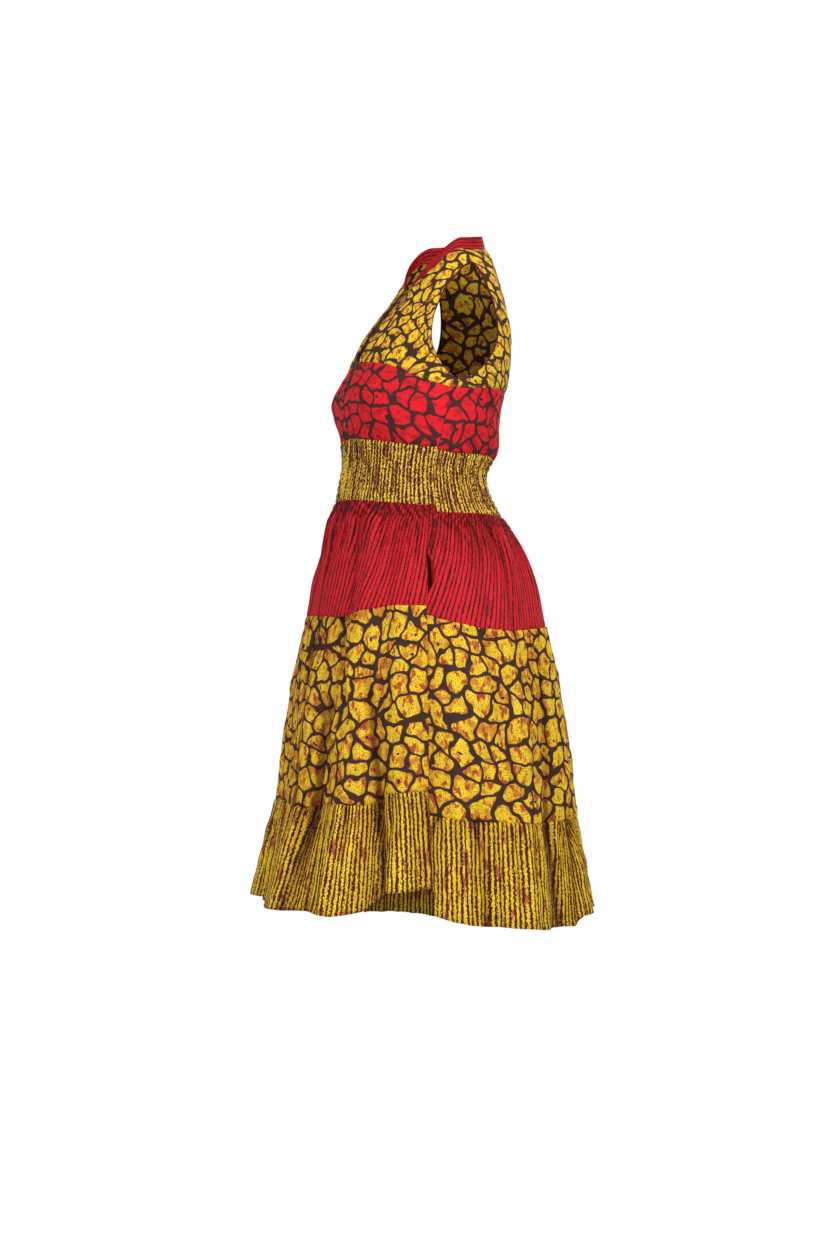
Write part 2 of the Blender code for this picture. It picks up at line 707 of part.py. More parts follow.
def zip_slider(collection):
    """The slider's body, with the arch that the pull tab hangs under."""
    width, length, depth = SLIDER_SIZE
    face = SLIDER_BACK + depth
    body = prism("zip_slider", rectangle(width, length), 2, SLIDER_BACK, face)
    obj = add_object("zip_slider", body, "zip_metal", collection)
    obj.matrix_world = slider_frame()
    bevel = obj.modifiers.new("edges", "BEVEL")
    bevel.width = EDGE_BEVEL * MM
    bevel.segments = 2
    half = BRIDGE_WIDTH / 2
    join_to(obj, prism("slider_bridge", bridge_outline(face), 0, -half, half))
    return obj


def pull_outline():
    """The pull tab: two arms beside the bridge, a narrow neck and a rounded end."""
    half = PULL_WIDTH / 2
    neck = PULL_NECK_WIDTH / 2
    slot = BRIDGE_WIDTH / 2 + PULL_CLEARANCE
    top = HINGE_RISE + PULL_EYE_END
    eye_foot = HINGE_RISE - PULL_EYE_DEPTH
    shoulder = eye_foot - PULL_SHOULDER
    neck_y = HINGE_RISE - PULL_NECK_AT
    centre_y = HINGE_RISE - PULL_LENGTH + half
    points = [(slot, eye_foot), (slot, top), (half, top), (half, shoulder), (neck, neck_y)]
    for k in range(ROUND_END_STEPS + 1):
        turn = math.pi * k / ROUND_END_STEPS
        points.append((half * math.cos(turn), centre_y - half * math.sin(turn)))
    points += [(-neck, neck_y), (-half, shoulder), (-half, top), (-slot, top), (-slot, eye_foot)]
    return points


def zip_pull(collection):
    """The pull tab and the round bar at its top, which is the hinge's pin."""
    face = SLIDER_BACK + SLIDER_SIZE[2]
    height = face + PULL_CLEARANCE + PULL_THICKNESS / 2
    half = PULL_THICKNESS / 2
    plate = prism("zip_pull", pull_outline(), 2, height - half, height + half)
    obj = add_object("zip_pull", plate, "zip_metal", collection)
    obj.matrix_world = slider_frame()
    turns = [2 * math.pi * k / PULL_BAR_SIDES for k in range(PULL_BAR_SIDES)]
    ring = [
        (HINGE_RISE + PULL_BAR_RADIUS * math.cos(turn), height + PULL_BAR_RADIUS * math.sin(turn))
        for turn in turns
    ]
    reach = BRIDGE_WIDTH / 2 + PULL_CLEARANCE + PULL_BAR_SUNK
    join_to(obj, prism("pull_bar", ring, 0, -reach, reach))
    return obj


def pocket_walls(obj):
    wall = obj.modifiers.new("wall", "SOLIDIFY")
    wall.thickness = BAG_WALL * MM
    wall.offset = -1.0
    return obj


def build():
    clear_scene()
    dress = bpy.data.collections.new(NAME)
    bpy.context.scene.collection.children.link(dress)
    collar(dress)
    front_yoke("front_yoke_left", 1, dress)
    front_yoke("front_yoke_right", -1, dress)
    back_yoke(dress)
    cloth("front_bust_left", *bust_grid(1), "red_pebble", dress)
    cloth("front_bust_right", *bust_grid(-1), "red_pebble", dress)
    band("back_bust", YOKE_LINE, WAIST_TOP_LINE, BUST_ROWS, "red_pebble", dress, back=True)
    tiers = (
        ("waist", WAIST_TOP_LINE, WAIST_FOOT_LINE, WAIST_ROWS, WAIST_ROWS, "yellow_stripe"),
        (
            "skirt_upper", WAIST_FOOT_LINE, UPPER_FOOT_LINE,
            UPPER_FRONT_STATIONS, UPPER_BACK_STATIONS, "red_stripe",
        ),
        ("skirt_middle", UPPER_FOOT_LINE, MIDDLE_FOOT_LINE, MIDDLE_ROWS, MIDDLE_ROWS, "yellow_pebble"),
        ("flounce", MIDDLE_FOOT_LINE, HEM_LINE, FLOUNCE_ROWS, FLOUNCE_ROWS, "yellow_stripe"),
    )
    for name, top, foot, front_rows, back_rows, finish in tiers:
        band(name + "_front", top, foot, front_rows, finish, dress)
        band(name + "_back", top, foot, back_rows, finish, dress, back=True)
    pocket_walls(pocket("pocket_left", 1, POCKET_MOUTH, dress))
    pocket_walls(pocket("pocket_right", -1, RIGHT_POCKET_MOUTH, dress))
    zip_tape("zip_tape_left", 1, dress)
    zip_tape("zip_tape_right", -1, dress)
    zip_chain(dress)
    zip_slider(dress)
    zip_pull(dress)


build()
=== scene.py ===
"""Looks of the smock dress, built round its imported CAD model.

Frame: +Z up, the front of the dress faces -Y and its left side is +X, the origin is the middle of the neck.
Sizes in tables and in the surface functions are millimetres; meshes are metres. As in the CAD, the dress is
one surface: it goes round by angle (0 centre front, 90 left side, 180 centre back) and down by station
(0 neck, 18 hem).
"""

import math

import bmesh
import bpy
import numpy as np
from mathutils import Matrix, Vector

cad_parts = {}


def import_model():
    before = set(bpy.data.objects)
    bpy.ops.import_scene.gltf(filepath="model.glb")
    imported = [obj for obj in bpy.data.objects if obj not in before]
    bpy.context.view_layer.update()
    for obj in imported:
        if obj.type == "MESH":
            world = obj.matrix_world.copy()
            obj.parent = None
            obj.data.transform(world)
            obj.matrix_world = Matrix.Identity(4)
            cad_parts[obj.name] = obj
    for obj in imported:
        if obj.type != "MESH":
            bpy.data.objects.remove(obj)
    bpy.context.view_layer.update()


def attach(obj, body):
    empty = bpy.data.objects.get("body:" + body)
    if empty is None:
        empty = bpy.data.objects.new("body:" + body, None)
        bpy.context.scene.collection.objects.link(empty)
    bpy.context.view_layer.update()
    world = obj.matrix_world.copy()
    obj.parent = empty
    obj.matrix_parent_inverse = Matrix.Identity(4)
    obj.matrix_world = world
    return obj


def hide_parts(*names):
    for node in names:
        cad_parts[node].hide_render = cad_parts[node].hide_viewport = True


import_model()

MM = 0.001

# Sections down the dress, as in the CAD: the front, side and back points of each
SECTIONS = (
    # front_y, front_z, side_x, side_y, side_z, back_y, back_z
    (-62, -33, 60, 0, 28, 62, 38),  # 0 neck
    (-72, -45, 83, 4, 11, 74, 16),
    (-88, -63, 106, 2, -38, 88, -30),
    (-117, -97, 132, -10, -95, 101, -85),
    (-138, -128, 150, -26, -148, 103, -140),
    (-153, -157, 161, -42, -198, 96, -195),  # 5 seam of the yoke
    (-184, -215, 165, -49, -225, 90, -232),
    (-183, -245, 164, -50, -255, 85, -268),
    (-171, -284, 155, -50, -298, 76, -311),  # 8 top of the shirred waist
    (-169, -333, 148, -56, -343, 56, -352),
    (-179, -383, 158, -52, -393, 75, -404),  # 10 foot of the shirred waist
    (-190, -415, 172, -46, -425, 98, -435),
    (-209, -500, 210, -37, -503, 134, -505),
    (-226, -580, 235, -36, -585, 153, -590),  # 13 foot of the upper tier
    (-246, -665, 254, -35, -672, 174, -680),
    (-262, -765, 272, -35, -775, 192, -785),
    (-275, -876, 285, -36, -890, 204, -900),  # 16 foot of the middle tier
    (-294, -950, 300, -39, -965, 216, -976),
    (-313, -1032, 314, -42, -1050, 228, -1060),  # 18 hem
)
# Columns of a section that are used alone
SIDE_X = 2
SIDE_Z = 4

# Skirt folds: each row is the crest or the bottom of one, with how far it stands out
FOLDS = (
    # angle, out at the middle tier's foot, out at the hem
    (-166, 6, 12),
    (-153, -9, -13),
    (-139, 7, 12),
    (-124, -8, -14),
    (-109, 6, 13),
    (-94, -9, -12),
    (-79, 7, 12),
    (-64, -9, -15),
    (-50, 6, 12),
    (-36, -7, -12),
    (-24, 2, 5),
    (-8, -8, -16),
    (8, 3, 13),
    (21, -10, -14),
    (34, 8, 14),
    (45, -12, -16),
    (56, 6, 13),
    (66, -13, -11),
    (76, 3, 8),
    (90, 0, -4),
    (104, 4, 8),
    (119, -11, -17),
    (134, 4, 11),
    (150, -1, -2),
    (165, 6, 11),
    (180, -7, -12),
)
FOLD_START = 10.4
FOLD_MIDDLE = 16.0
FOLD_END = 18.0
FOLD_GROWTH = 1.3
FOLD_FLARE_LIMIT = 1.2

# Bust cups: how far the centre front lies back between them, and where
CUP_DEPTH = 6.0
CUP_ANGLE = 33.0
CUP_STATION = 6.4
CUP_REACH = 1.7

# Side seams: the angle of each at a station
LEFT_SEAM = (
    (0, 90), (5.5, 90), (7.4, 82), (8.2, 79), (10.62, 77),
    (11.1, 71), (11.7, 65), (12.7, 64), (15.9, 65.5), (18, 69),
)
RIGHT_SEAM = ((0, -90), (8.2, -90), (18, -94))
LEFT_COLUMN = 66
RIGHT_COLUMN = -94
SEAM_DRAW = 55.0

# Seams that go round: the station of each at an angle, on the front and on the back
YOKE_LINE = (
    ((-90, 5.4), (-45, 5.15), (0, 5.1), (36, 5.08), (56, 5.2), (70, 5.3), (90, 5.5)),
    ((90, 5.5), (135, 5.35), (180, 5.3), (225, 5.35), (270, 5.4)),
)
WAIST_TOP_LINE = (
    ((-92, 8.2), (0, 8.06), (41, 8.15), (80, 8.22)),
    ((79, 8.3), (96, 8.42), (135, 8.3), (180, 8.3), (268, 8.2)),
)
WAIST_FOOT_LINE = (
    ((-92, 10.25), (0, 10.07), (39, 10.15), (77, 10.2)),
    ((77, 10.62), (97, 10.62), (140, 10.5), (180, 10.4), (268, 10.25)),
)
UPPER_FOOT_LINE = (
    ((-94, 13.0), (-15, 12.92), (17, 12.95), (31, 12.82), (46, 12.7), (66, 12.68)),
    ((64, 12.86), (72, 12.95), (90, 13.1), (107, 13.15), (142, 13.05), (180, 13.05), (266, 13.0)),
)
MIDDLE_FOOT_LINE = (
    ((-94, 16.05), (-11, 15.97), (10, 16.03), (22, 15.92), (42, 15.85), (50, 15.66), (66, 15.6)),
    ((64, 15.93), (82, 16.0), (112, 16.08), (142, 16.02), (180, 16.05), (266, 16.05)),
)
HEM_LINE = (
    (
        (-94, 18.52), (-60, 18.32), (-24, 17.97), (-12, 17.97), (-9, 18.1), (12, 18.06),
        (36, 17.98), (45, 17.78), (52, 17.42), (70, 17.3),
    ),
    (
        (66, 17.7), (80, 17.9), (95, 18.03), (110, 18.1), (127, 18.1), (130, 17.88),
        (150, 17.8), (180, 17.98), (205, 18.2), (225, 18.5), (240, 18.6), (266, 18.52),
    ),
)

# Neckline, armhole and centre front edges of the yoke
NECK_LINE = ((0, 0.55), (36, 0.68), (51, 0.72), (68, 0.62), (90, 0.42), (180, 0.4))
FRONT_NECK_ANGLES = (92, 68, 44, 24)
SHOULDER_ANGLE = 92
SHOULDER_POINT = (1.35, 94)
ARMHOLE = (
    # station, angle in front, angle behind
    (1.9, 67, 108), (2.7, 58.5, 116), (3.5, 59.5, 118), (4.15, 65, 113), (4.65, 75, 103), (4.93, 84, 95),
)
UNDERARM = 5.02
CENTRE_EDGE = (
    # station, distance from the centre
    (0.55, 12), (2, 9.5), (3.5, 7), (4.6, 5.6), (5.1, 5.2), (5.6, 4.2), (8.1, 4.0),
)
YOKE_EDGE_STATIONS = (1.7, 2.85, 4.0)
YOKE_DRAW_STATION = 5.3
YOKE_FOOT_STATION = 5.1

# Stand collar: its height at an angle from the centre front, and its lean inwards in degrees
COLLAR_HEIGHT = ((0, 5), (9, 6), (24, 11), (40, 14.5), (68, 16), (95, 19), (180, 22))
COLLAR_LEAN = 14.0

# Pockets in the side seams
POCKET_TOP = 11.5
POCKET_FOOT = 12.62
POCKET_MOUTH = 17.0
RIGHT_POCKET_MOUTH = 13.0

# Cloth: its wall, the half gap at seams, and how a seam draws the cloth in
CLOTH_WALL = 1.1
SEAM_INSET = 0.15
SEAM_DIP = 1.1
SEAM_REACH = 3.0

# How far apart a normal's neighbours are taken
STATION_STEP = 0.02
ANGLE_STEP = 0.5


def read_row(rows, value):
    """The second column of a table at a value of its first, on straight lines between rows."""
    return np.interp(value, [row[0] for row in rows], [row[1] for row in rows])


def through(before, here, after, beyond, part):
    """A smooth curve through values one step apart, a part of the way on from here."""
    linear = (after - before) * part
    square = (2 * before - 5 * here + 4 * after - beyond) * part**2
    cube = (3 * here - before - 3 * after + beyond) * part**3
    return 0.5 * (2 * here + linear + square + cube)


def section_at(station):
    """The seven section sizes at any station, on a smooth curve through the table, straight below it."""
    table = np.array(SECTIONS, float)
    last = len(table) - 1
    station = np.asarray(station, float)
    below = np.maximum(station - last, 0)[..., None]
    station = np.minimum(station, last)
    low = np.clip(np.floor(station).astype(int), 0, last - 1)
    around = [table[np.clip(low + k, 0, last)] for k in (-1, 0, 1, 2)]
    return through(*around, (station - low)[..., None]) + below * (table[last] - table[last - 1])


def half_width(station):
    return section_at(station)[..., SIDE_X]


def wrap(angle):
    return (np.asarray(angle, float) + 180) % 360 - 180


def fold_out(station, angle):
    """How far the skirt's folds stand out of the plain section."""
    angles = np.array([FOLDS[-1][0] - 360] + [row[0] for row in FOLDS])
    middle = np.array([FOLDS[-1][1]] + [row[1] for row in FOLDS], float)
    hem = np.array([FOLDS[-1][2]] + [row[2] for row in FOLDS], float)
    wrapped = wrap(angle)
    index = np.clip(np.searchsorted(angles, wrapped, side="right") - 1, 0, len(angles) - 2)
    across = (wrapped - angles[index]) / (angles[index + 1] - angles[index])
    eased = 0.5 - 0.5 * np.cos(np.pi * across)
    at_middle = middle[index] + (middle[index + 1] - middle[index]) * eased
    at_hem = hem[index] + (hem[index + 1] - hem[index]) * eased
    grown = np.clip((station - FOLD_START) / (FOLD_MIDDLE - FOLD_START), 0, 1) ** FOLD_GROWTH
    flared = np.clip((station - FOLD_MIDDLE) / (FOLD_END - FOLD_MIDDLE), 0, FOLD_FLARE_LIMIT)
    return at_middle * grown * (1 - flared) + at_hem * flared


def cup_out(station, angle):
    """How far the centre front lies back between the bust's cups."""
    level = np.clip(1 - np.abs(station - CUP_STATION) / CUP_REACH, 0, 1)
    level = level * level * (3 - 2 * level)
    across = np.clip(np.abs(wrap(angle)) / CUP_ANGLE, 0, 2)
    return -CUP_DEPTH * level * 0.5 * (1 + np.cos(np.pi * across))


def surface(station, angle):
    """Points of the dress's outside."""
    station, angle = np.broadcast_arrays(np.asarray(station, float), np.asarray(angle, float))
    front_y, front_z, side_x, side_y, side_z, back_y, back_z = np.moveaxis(section_at(station), -1, 0)
    turn = np.radians(angle)
    ahead = np.cos(turn)
    out = fold_out(station, angle) + cup_out(station, angle)
    in_front = ahead > 0
    x = side_x * np.sin(turn)
    y = side_y + np.where(in_front, front_y - side_y, side_y - back_y) * ahead
    z = side_z + np.where(in_front, front_z - side_z, back_z - side_z) * ahead**2
    return np.stack([x + out * np.sin(turn), y - out * ahead, z], axis=-1)


def surface_normal(station, angle):
    down = surface(station + STATION_STEP, angle) - surface(station - STATION_STEP, angle)
    along = surface(station, angle + ANGLE_STEP) - surface(station, angle - ANGLE_STEP)
    return unit(np.cross(down, along))


def unit(vectors):
    return vectors / np.maximum(np.linalg.norm(vectors, axis=-1, keepdims=True), 1e-9)


def drawn(angle, station):
    """Column angles moved sideways so that the seam columns follow the side seams."""
    left = read_row(LEFT_SEAM, station) - LEFT_COLUMN
    right = read_row(RIGHT_SEAM, station) - RIGHT_COLUMN
    near_left = np.clip(1 - np.abs(angle - LEFT_COLUMN) / SEAM_DRAW, 0, 1)
    away = np.minimum(np.abs(angle - RIGHT_COLUMN), np.abs(angle - RIGHT_COLUMN - 360))
    near_right = np.clip(1 - away / SEAM_DRAW, 0, 1)
    return angle + left * near_left + right * near_right


def edge_angle(station):
    """The angle of the centre front edges at a station."""
    return np.degrees(np.arcsin(read_row(CENTRE_EDGE, station) / half_width(station)))


def to_degrees(length, station):
    """A short length round the side of the dress as an angle."""
    return np.degrees(length / half_width(station))


def mouth_opening(station, mouth):
    """Half of a pocket mouth's spread at a station."""
    along = np.clip((station - POCKET_TOP) / (POCKET_FOOT - POCKET_TOP), 0, 1)
    return mouth * np.sin(np.pi * along) ** 2


def neck_station(angle):
    return read_row(NECK_LINE, np.abs(wrap(angle)))


# Smooth noise and gathers

WAVE_COUNT = 8
WAVE_RANGE = (1.2, 3.2)


def waves(seed, scale, *axes):
    """Smooth noise in any number of lengths, about -1 to 1, whose bumps are about a scale long."""
    draw = np.random.default_rng(seed)
    total = 0.0
    for _ in range(WAVE_COUNT):
        direction = draw.normal(size=len(axes))
        direction /= np.linalg.norm(direction)
        length = scale * draw.uniform(*WAVE_RANGE)
        phase = draw.uniform(0, 2 * np.pi)
        total = total + np.sin(2 * np.pi * sum(d * a for d, a in zip(direction, axes)) / length + phase)
    return total / math.sqrt(WAVE_COUNT)


def gathers(seed, u, v, pitch, wander=0.5):
    """Rounded ridges about a pitch apart with narrow valleys between, from 0 to 1."""
    phase = u / pitch + wander * waves(seed, 3 * pitch, u) + 0.4 * wander * waves(seed + 1, 7 * pitch, u, v)
    return np.abs(np.sin(np.pi * phase)) ** 0.8


def fade(distance, reach):
    """1 at no distance, easing to 0 at the reach."""
    part = np.clip(1 - distance / reach, 0, 1)
    return part * part * (3 - 2 * part)


# Main creases and soft ridges beyond the skirt's broad folds
CREASES = (
    # from station, angle, to station, angle, half width in mm, out in mm
    (11.0, 24, 13.0, 25, 9, -4.5),
    (11.3, 36, 12.9, 31, 12, 2.5),
    (11.2, 5, 12.9, 2, 8, -3.5),
    (11.4, -14, 13.0, -17, 10, -4.0),
    (11.0, -38, 12.8, -44, 9, -4.5),
    (11.2, -62, 12.9, -60, 12, -3.0),
    (11.5, 50, 12.9, 43, 7, -1.5),
    (11.0, 96, 13.0, 90, 10, -2.5),
    (11.1, 112, 13.0, 108, 9, -4.0),
    (11.0, 138, 13.0, 146, 10, -4.5),
    (11.2, 166, 13.0, 163, 8, -3.5),
    (11.0, 190, 13.0, 196, 10, -4.5),
    (11.2, 222, 13.0, 216, 9, -4.0),
    (13.1, 21, 14.5, 31, 8, -4.5),
    (13.2, 27, 15.2, 38, 13, 3.0),
    (14.0, 39, 16.1, 47, 9, -6.0),
    (13.2, 52, 15.5, 56, 14, 2.5),
    (14.6, 20, 16.1, 17, 12, -5.0),
    (13.2, 3, 15.8, 5, 11, -4.0),
    (13.2, -20, 16.0, -27, 12, -5.0),
    (13.6, -48, 16.0, -44, 10, -4.5),
    (13.1, -70, 15.6, -76, 12, -4.0),
    (13.3, 92, 15.4, 98, 11, -3.0),
    (13.6, 126, 16.1, 118, 12, -4.5),
    (14.2, 150, 16.2, 131, 11, -5.0),
    (13.2, 172, 15.9, 176, 12, -4.0),
    (13.4, 205, 16.0, 198, 11, -5.0),
    (13.1, 238, 15.8, 242, 12, -4.0),
    (16.0, 47, 17.7, 52, 9, -6.0),
    (16.0, 17, 18.0, 13, 13, -6.5),
    (16.1, 31, 17.9, 33, 14, 4.0),
    (16.0, -27, 18.1, -30, 10, -6.0),
    (16.1, -58, 18.2, -54, 11, -5.0),
    (16.0, 84, 17.9, 86, 10, -5.0),
    (16.1, 104, 17.9, 101, 12, 3.5),
    (16.0, 118, 17.9, 120, 9, -5.0),
    (16.0, 130, 17.9, 128, 8, -6.0),
    (16.1, 160, 17.9, 157, 11, -5.5),
    (16.0, 188, 18.0, 192, 12, -6.0),
    (16.1, 224, 18.1, 220, 10, -5.0),
    (5.5, 62, 6.5, 48, 8, -1.5),
    (7.2, 44, 8.0, 47, 7, -1.8),
    (5.6, -62, 6.6, -47, 8, -1.5),
    (7.1, -40, 8.0, -44, 7, -1.8),
    (5.7, 120, 7.9, 128, 12, -2.2),
    (5.7, 240, 7.9, 231, 12, -2.2),
    (3.2, 52, 4.6, 44, 7, -1.3),
    (3.0, -50, 4.5, -42, 7, -1.3),
    (2.6, 124, 4.6, 138, 9, -1.6),
    (2.6, 236, 4.6, 222, 9, -1.6),
)
CREASE_END = 0.45

# Where a pocket bag lies behind the cloth: stations, angles, and how far in the cloth may lie there
POCKET_ZONES = ((11.1, 13.3, 28, 100), (11.1, 13.3, -122, -62))
POCKET_LIMIT = -1.4
# Away from the bags the cloth may lie further in, by a fall for each of these steps
DEEPEST_LIMIT = -30.0
LIMIT_FALL = 4
FALL_STATIONS = 0.3
FALL_DEGREES = 12


def past_range(value, low, high):
    """How far a value lies outside a range."""
    return np.maximum(np.maximum(low - value, value - high), 0)


def pocket_limit(station, angle):
    limit = DEEPEST_LIMIT
    for first, last, low, high in POCKET_ZONES:
        beyond = past_range(station, first, last) / FALL_STATIONS
        beyond = beyond + past_range(wrap(angle), low, high) / FALL_DEGREES
        limit = np.maximum(limit, POCKET_LIMIT - LIMIT_FALL * beyond)
    return limit


def creases(station, angle):
    """How far the creases stand out at stations and angles."""
    total = np.zeros(np.broadcast(station, angle).shape)
    radius = half_width(station)
    for start, start_angle, end, end_angle, width, out in CREASES:
        along = np.clip((station - start) / (end - start), 0, 1)
        line = start_angle + (end_angle - start_angle) * along
        away = np.radians(wrap(angle - line)) * radius
        beyond = past_range(station, start, end)
        total += out * np.exp(-((away / width) ** 2)) * fade(beyond, CREASE_END)
    return total


# Materials

CLOTH_SHINE = 0.14
WARP_DETAIL = 0.6
CELL_RANDOMNESS = 0.85
THREAD_SIZE = (0.62, 0.66)


class Finish:
    """One material and the nodes that make it."""

    def __init__(self, name, roughness, metallic=0.0, sheen=0.0):
        self.material = bpy.data.materials.new(name)
        self.material.use_nodes = True
        self.tree = self.material.node_tree
        self.shader = self.tree.nodes["Principled BSDF"]
        self.shader.inputs["Roughness"].default_value = roughness
        self.shader.inputs["Metallic"].default_value = metallic
        self.shader.inputs["Sheen Weight"].default_value = sheen
        if not metallic:
            self.shader.inputs["Specular IOR Level"].default_value = CLOTH_SHINE
        self.uv = self.add("UVMap", {}, {})

    def add(self, kind, settings, inputs, output=0):
        made = self.tree.nodes.new("ShaderNode" + kind)
        for key, value in settings.items():
            setattr(made, key, value)
        for key, value in inputs.items():
            self.feed(made.inputs[key], value)
        return made.outputs[output]

    def feed(self, socket, value):
        if isinstance(value, bpy.types.NodeSocket):
            self.tree.links.new(value, socket)
        elif isinstance(value, tuple) and len(value) == 3 and socket.type == "RGBA":
            socket.default_value = (*value, 1.0)
        else:
            socket.default_value = value

    def math(self, operation, *values):
        return self.add("Math", {"operation": operation}, dict(enumerate(values)))

    def vector(self, operation, *values):
        return self.add("VectorMath", {"operation": operation}, dict(enumerate(values)))

    def cloth_mm(self, across, down, shift=(0.0, 0.0)):
        """The cloth's own coordinates, in units of so many mm across and down."""
        size = (1 / (MM * across), 1 / (MM * down), 0.0)
        return self.vector("MULTIPLY_ADD", self.uv, size, (*shift, 0.0))

    def grain(self, across, down, detail=2.0, roughness=0.5, shift=(0.0, 0.0)):
        """Noise with bumps of so many mm across and down the cloth."""
        where = self.cloth_mm(across, down, shift)
        inputs = {"Vector": where, "Scale": 1.0, "Detail": detail, "Roughness": roughness}
        return self.add("TexNoise", {"noise_dimensions": "2D"}, inputs)

    def warp(self, across, down, amount, shift=(0.0, 0.0)):
        """A shift of up to about half an amount each way, with bumps of so many mm."""
        inputs = {"Vector": self.cloth_mm(across, down, shift), "Scale": 1.0, "Detail": WARP_DETAIL}
        colour = self.add("TexNoise", {"noise_dimensions": "2D"}, inputs, output=1)
        centred = self.vector("SUBTRACT", colour, (0.5, 0.5, 0.5))
        return self.vector("MULTIPLY", centred, (amount, amount, 0.0))

    def voronoi(self, where, feature, output=0):
        settings = {"voronoi_dimensions": "2D", "feature": feature}
        inputs = {"Vector": where, "Scale": 1.0, "Randomness": CELL_RANDOMNESS}
        return self.add("TexVoronoi", settings, inputs, output)

    def step(self, value, low, high, to_low=0.0, to_high=1.0):
        """A smooth step between two values."""
        inputs = {"Value": value, "From Min": low, "From Max": high, "To Min": to_low, "To Max": to_high}
        return self.add("MapRange", {"interpolation_type": "SMOOTHSTEP"}, inputs)

    def mix(self, share, first, second, blend="MIX"):
        settings = {"data_type": "RGBA", "blend_type": blend, "clamp_factor": True}
        return self.add("Mix", settings, {0: share, 6: first, 7: second}, output=2)

    def bump(self, height, strength, distance_mm, normal=None):
        inputs = {"Height": height, "Strength": strength, "Distance": distance_mm * MM}
        if normal is not None:
            inputs["Normal"] = normal
        return self.add("Bump", {}, inputs)

    def use(self, socket, value):
        self.feed(self.shader.inputs[socket], value)

    def weave(self, colour):
        """Plain weave of cotton in relief and tone, with soft crumples, and painted shade in the folds,
        creases and gathers.
        """
        apart = self.add("SeparateXYZ", {}, {0: self.cloth_mm(*THREAD_SIZE)}).node.outputs
        warp, weft = (self.math("SINE", self.math("MULTIPLY", apart[k], 2 * math.pi)) for k in (0, 1))
        relief = self.bump(self.grain(9, 11, 3.0, 0.55), 0.5, 1.6)
        self.use("Normal", self.bump(self.math("MULTIPLY", warp, weft), 0.35, 0.12, relief))
        slub_shade = self.step(self.grain(1.1, 7.0, 2.0, 0.6), 0.25, 0.75, 0.88, 1.06)
        toned = self.add("HueSaturation", {}, {"Color": colour, "Value": slub_shade})
        # Painted shade: the depth attribute darkens the colour towards the painted shade colours
        settings = {"attribute_type": "GEOMETRY", "attribute_name": "depth"}
        depth = self.add("Attribute", settings, {}, output=2)
        toned = self.mix(self.math("MULTIPLY", depth, 0.8), toned, PAINTED_FOLD_SHADE_COLOUR, blend="MULTIPLY")
        toned = self.mix(self.step(depth, 0.6, 1.0, 0.0, 0.8), toned, PAINTED_DEEP_SHADE_COLOUR, blend="MULTIPLY")
        self.use("Base Color", toned)


YELLOW = (0.98, 0.79, 0.024)
PALE_YELLOW = (1.0, 0.74, 0.07)
GOLD = (0.84, 0.43, 0.020)
ORANGE = (0.62, 0.17, 0.020)
RUST = (0.44, 0.030, 0.022)
UMBER = (0.20, 0.09, 0.02)
BROWN = (0.060, 0.034, 0.018)
RED_BROWN = (0.080, 0.024, 0.020)
PLUM = (0.045, 0.014, 0.016)
RED = (0.86, 0.012, 0.024)
WARM_RED = (0.78, 0.012, 0.022)
DARKER_RED = (0.66, 0.012, 0.020)
DEEP_RED = (0.40, 0.010, 0.018)
MAROON = (0.26, 0.020, 0.022)
STRIPE_MAROON = (0.072, 0.011, 0.015)
STRIPE_BLACK = (0.055, 0.010, 0.012)
# Painted shade: warm dark colours multiplied into the cloth where its depth attribute is high
PAINTED_FOLD_SHADE_COLOUR = (0.47, 0.235, 0.19)
PAINTED_DEEP_SHADE_COLOUR = (0.30, 0.24, 0.26)
METAL_DARK = (0.012, 0.011, 0.011)

# Cells: mm of cloth, and shares of a cell
CELL = 40.0
GAP_EDGE = 0.040
GAP_LINE = 0.012
GAP_SOFTNESS = 0.006
GAP_CHANGE = 0.014
GAP_SHADE = 0.07
CELL_SMOOTHNESS = 0.85
ROUNDING = 0.9
MOST_ROUNDING = 0.075
NO_EYE = 0.82
EYE_EDGE = (0.07, 0.10)
# How softly a stripe's line ends, as a share of its pitch
LINE_SOFTNESS = 0.07


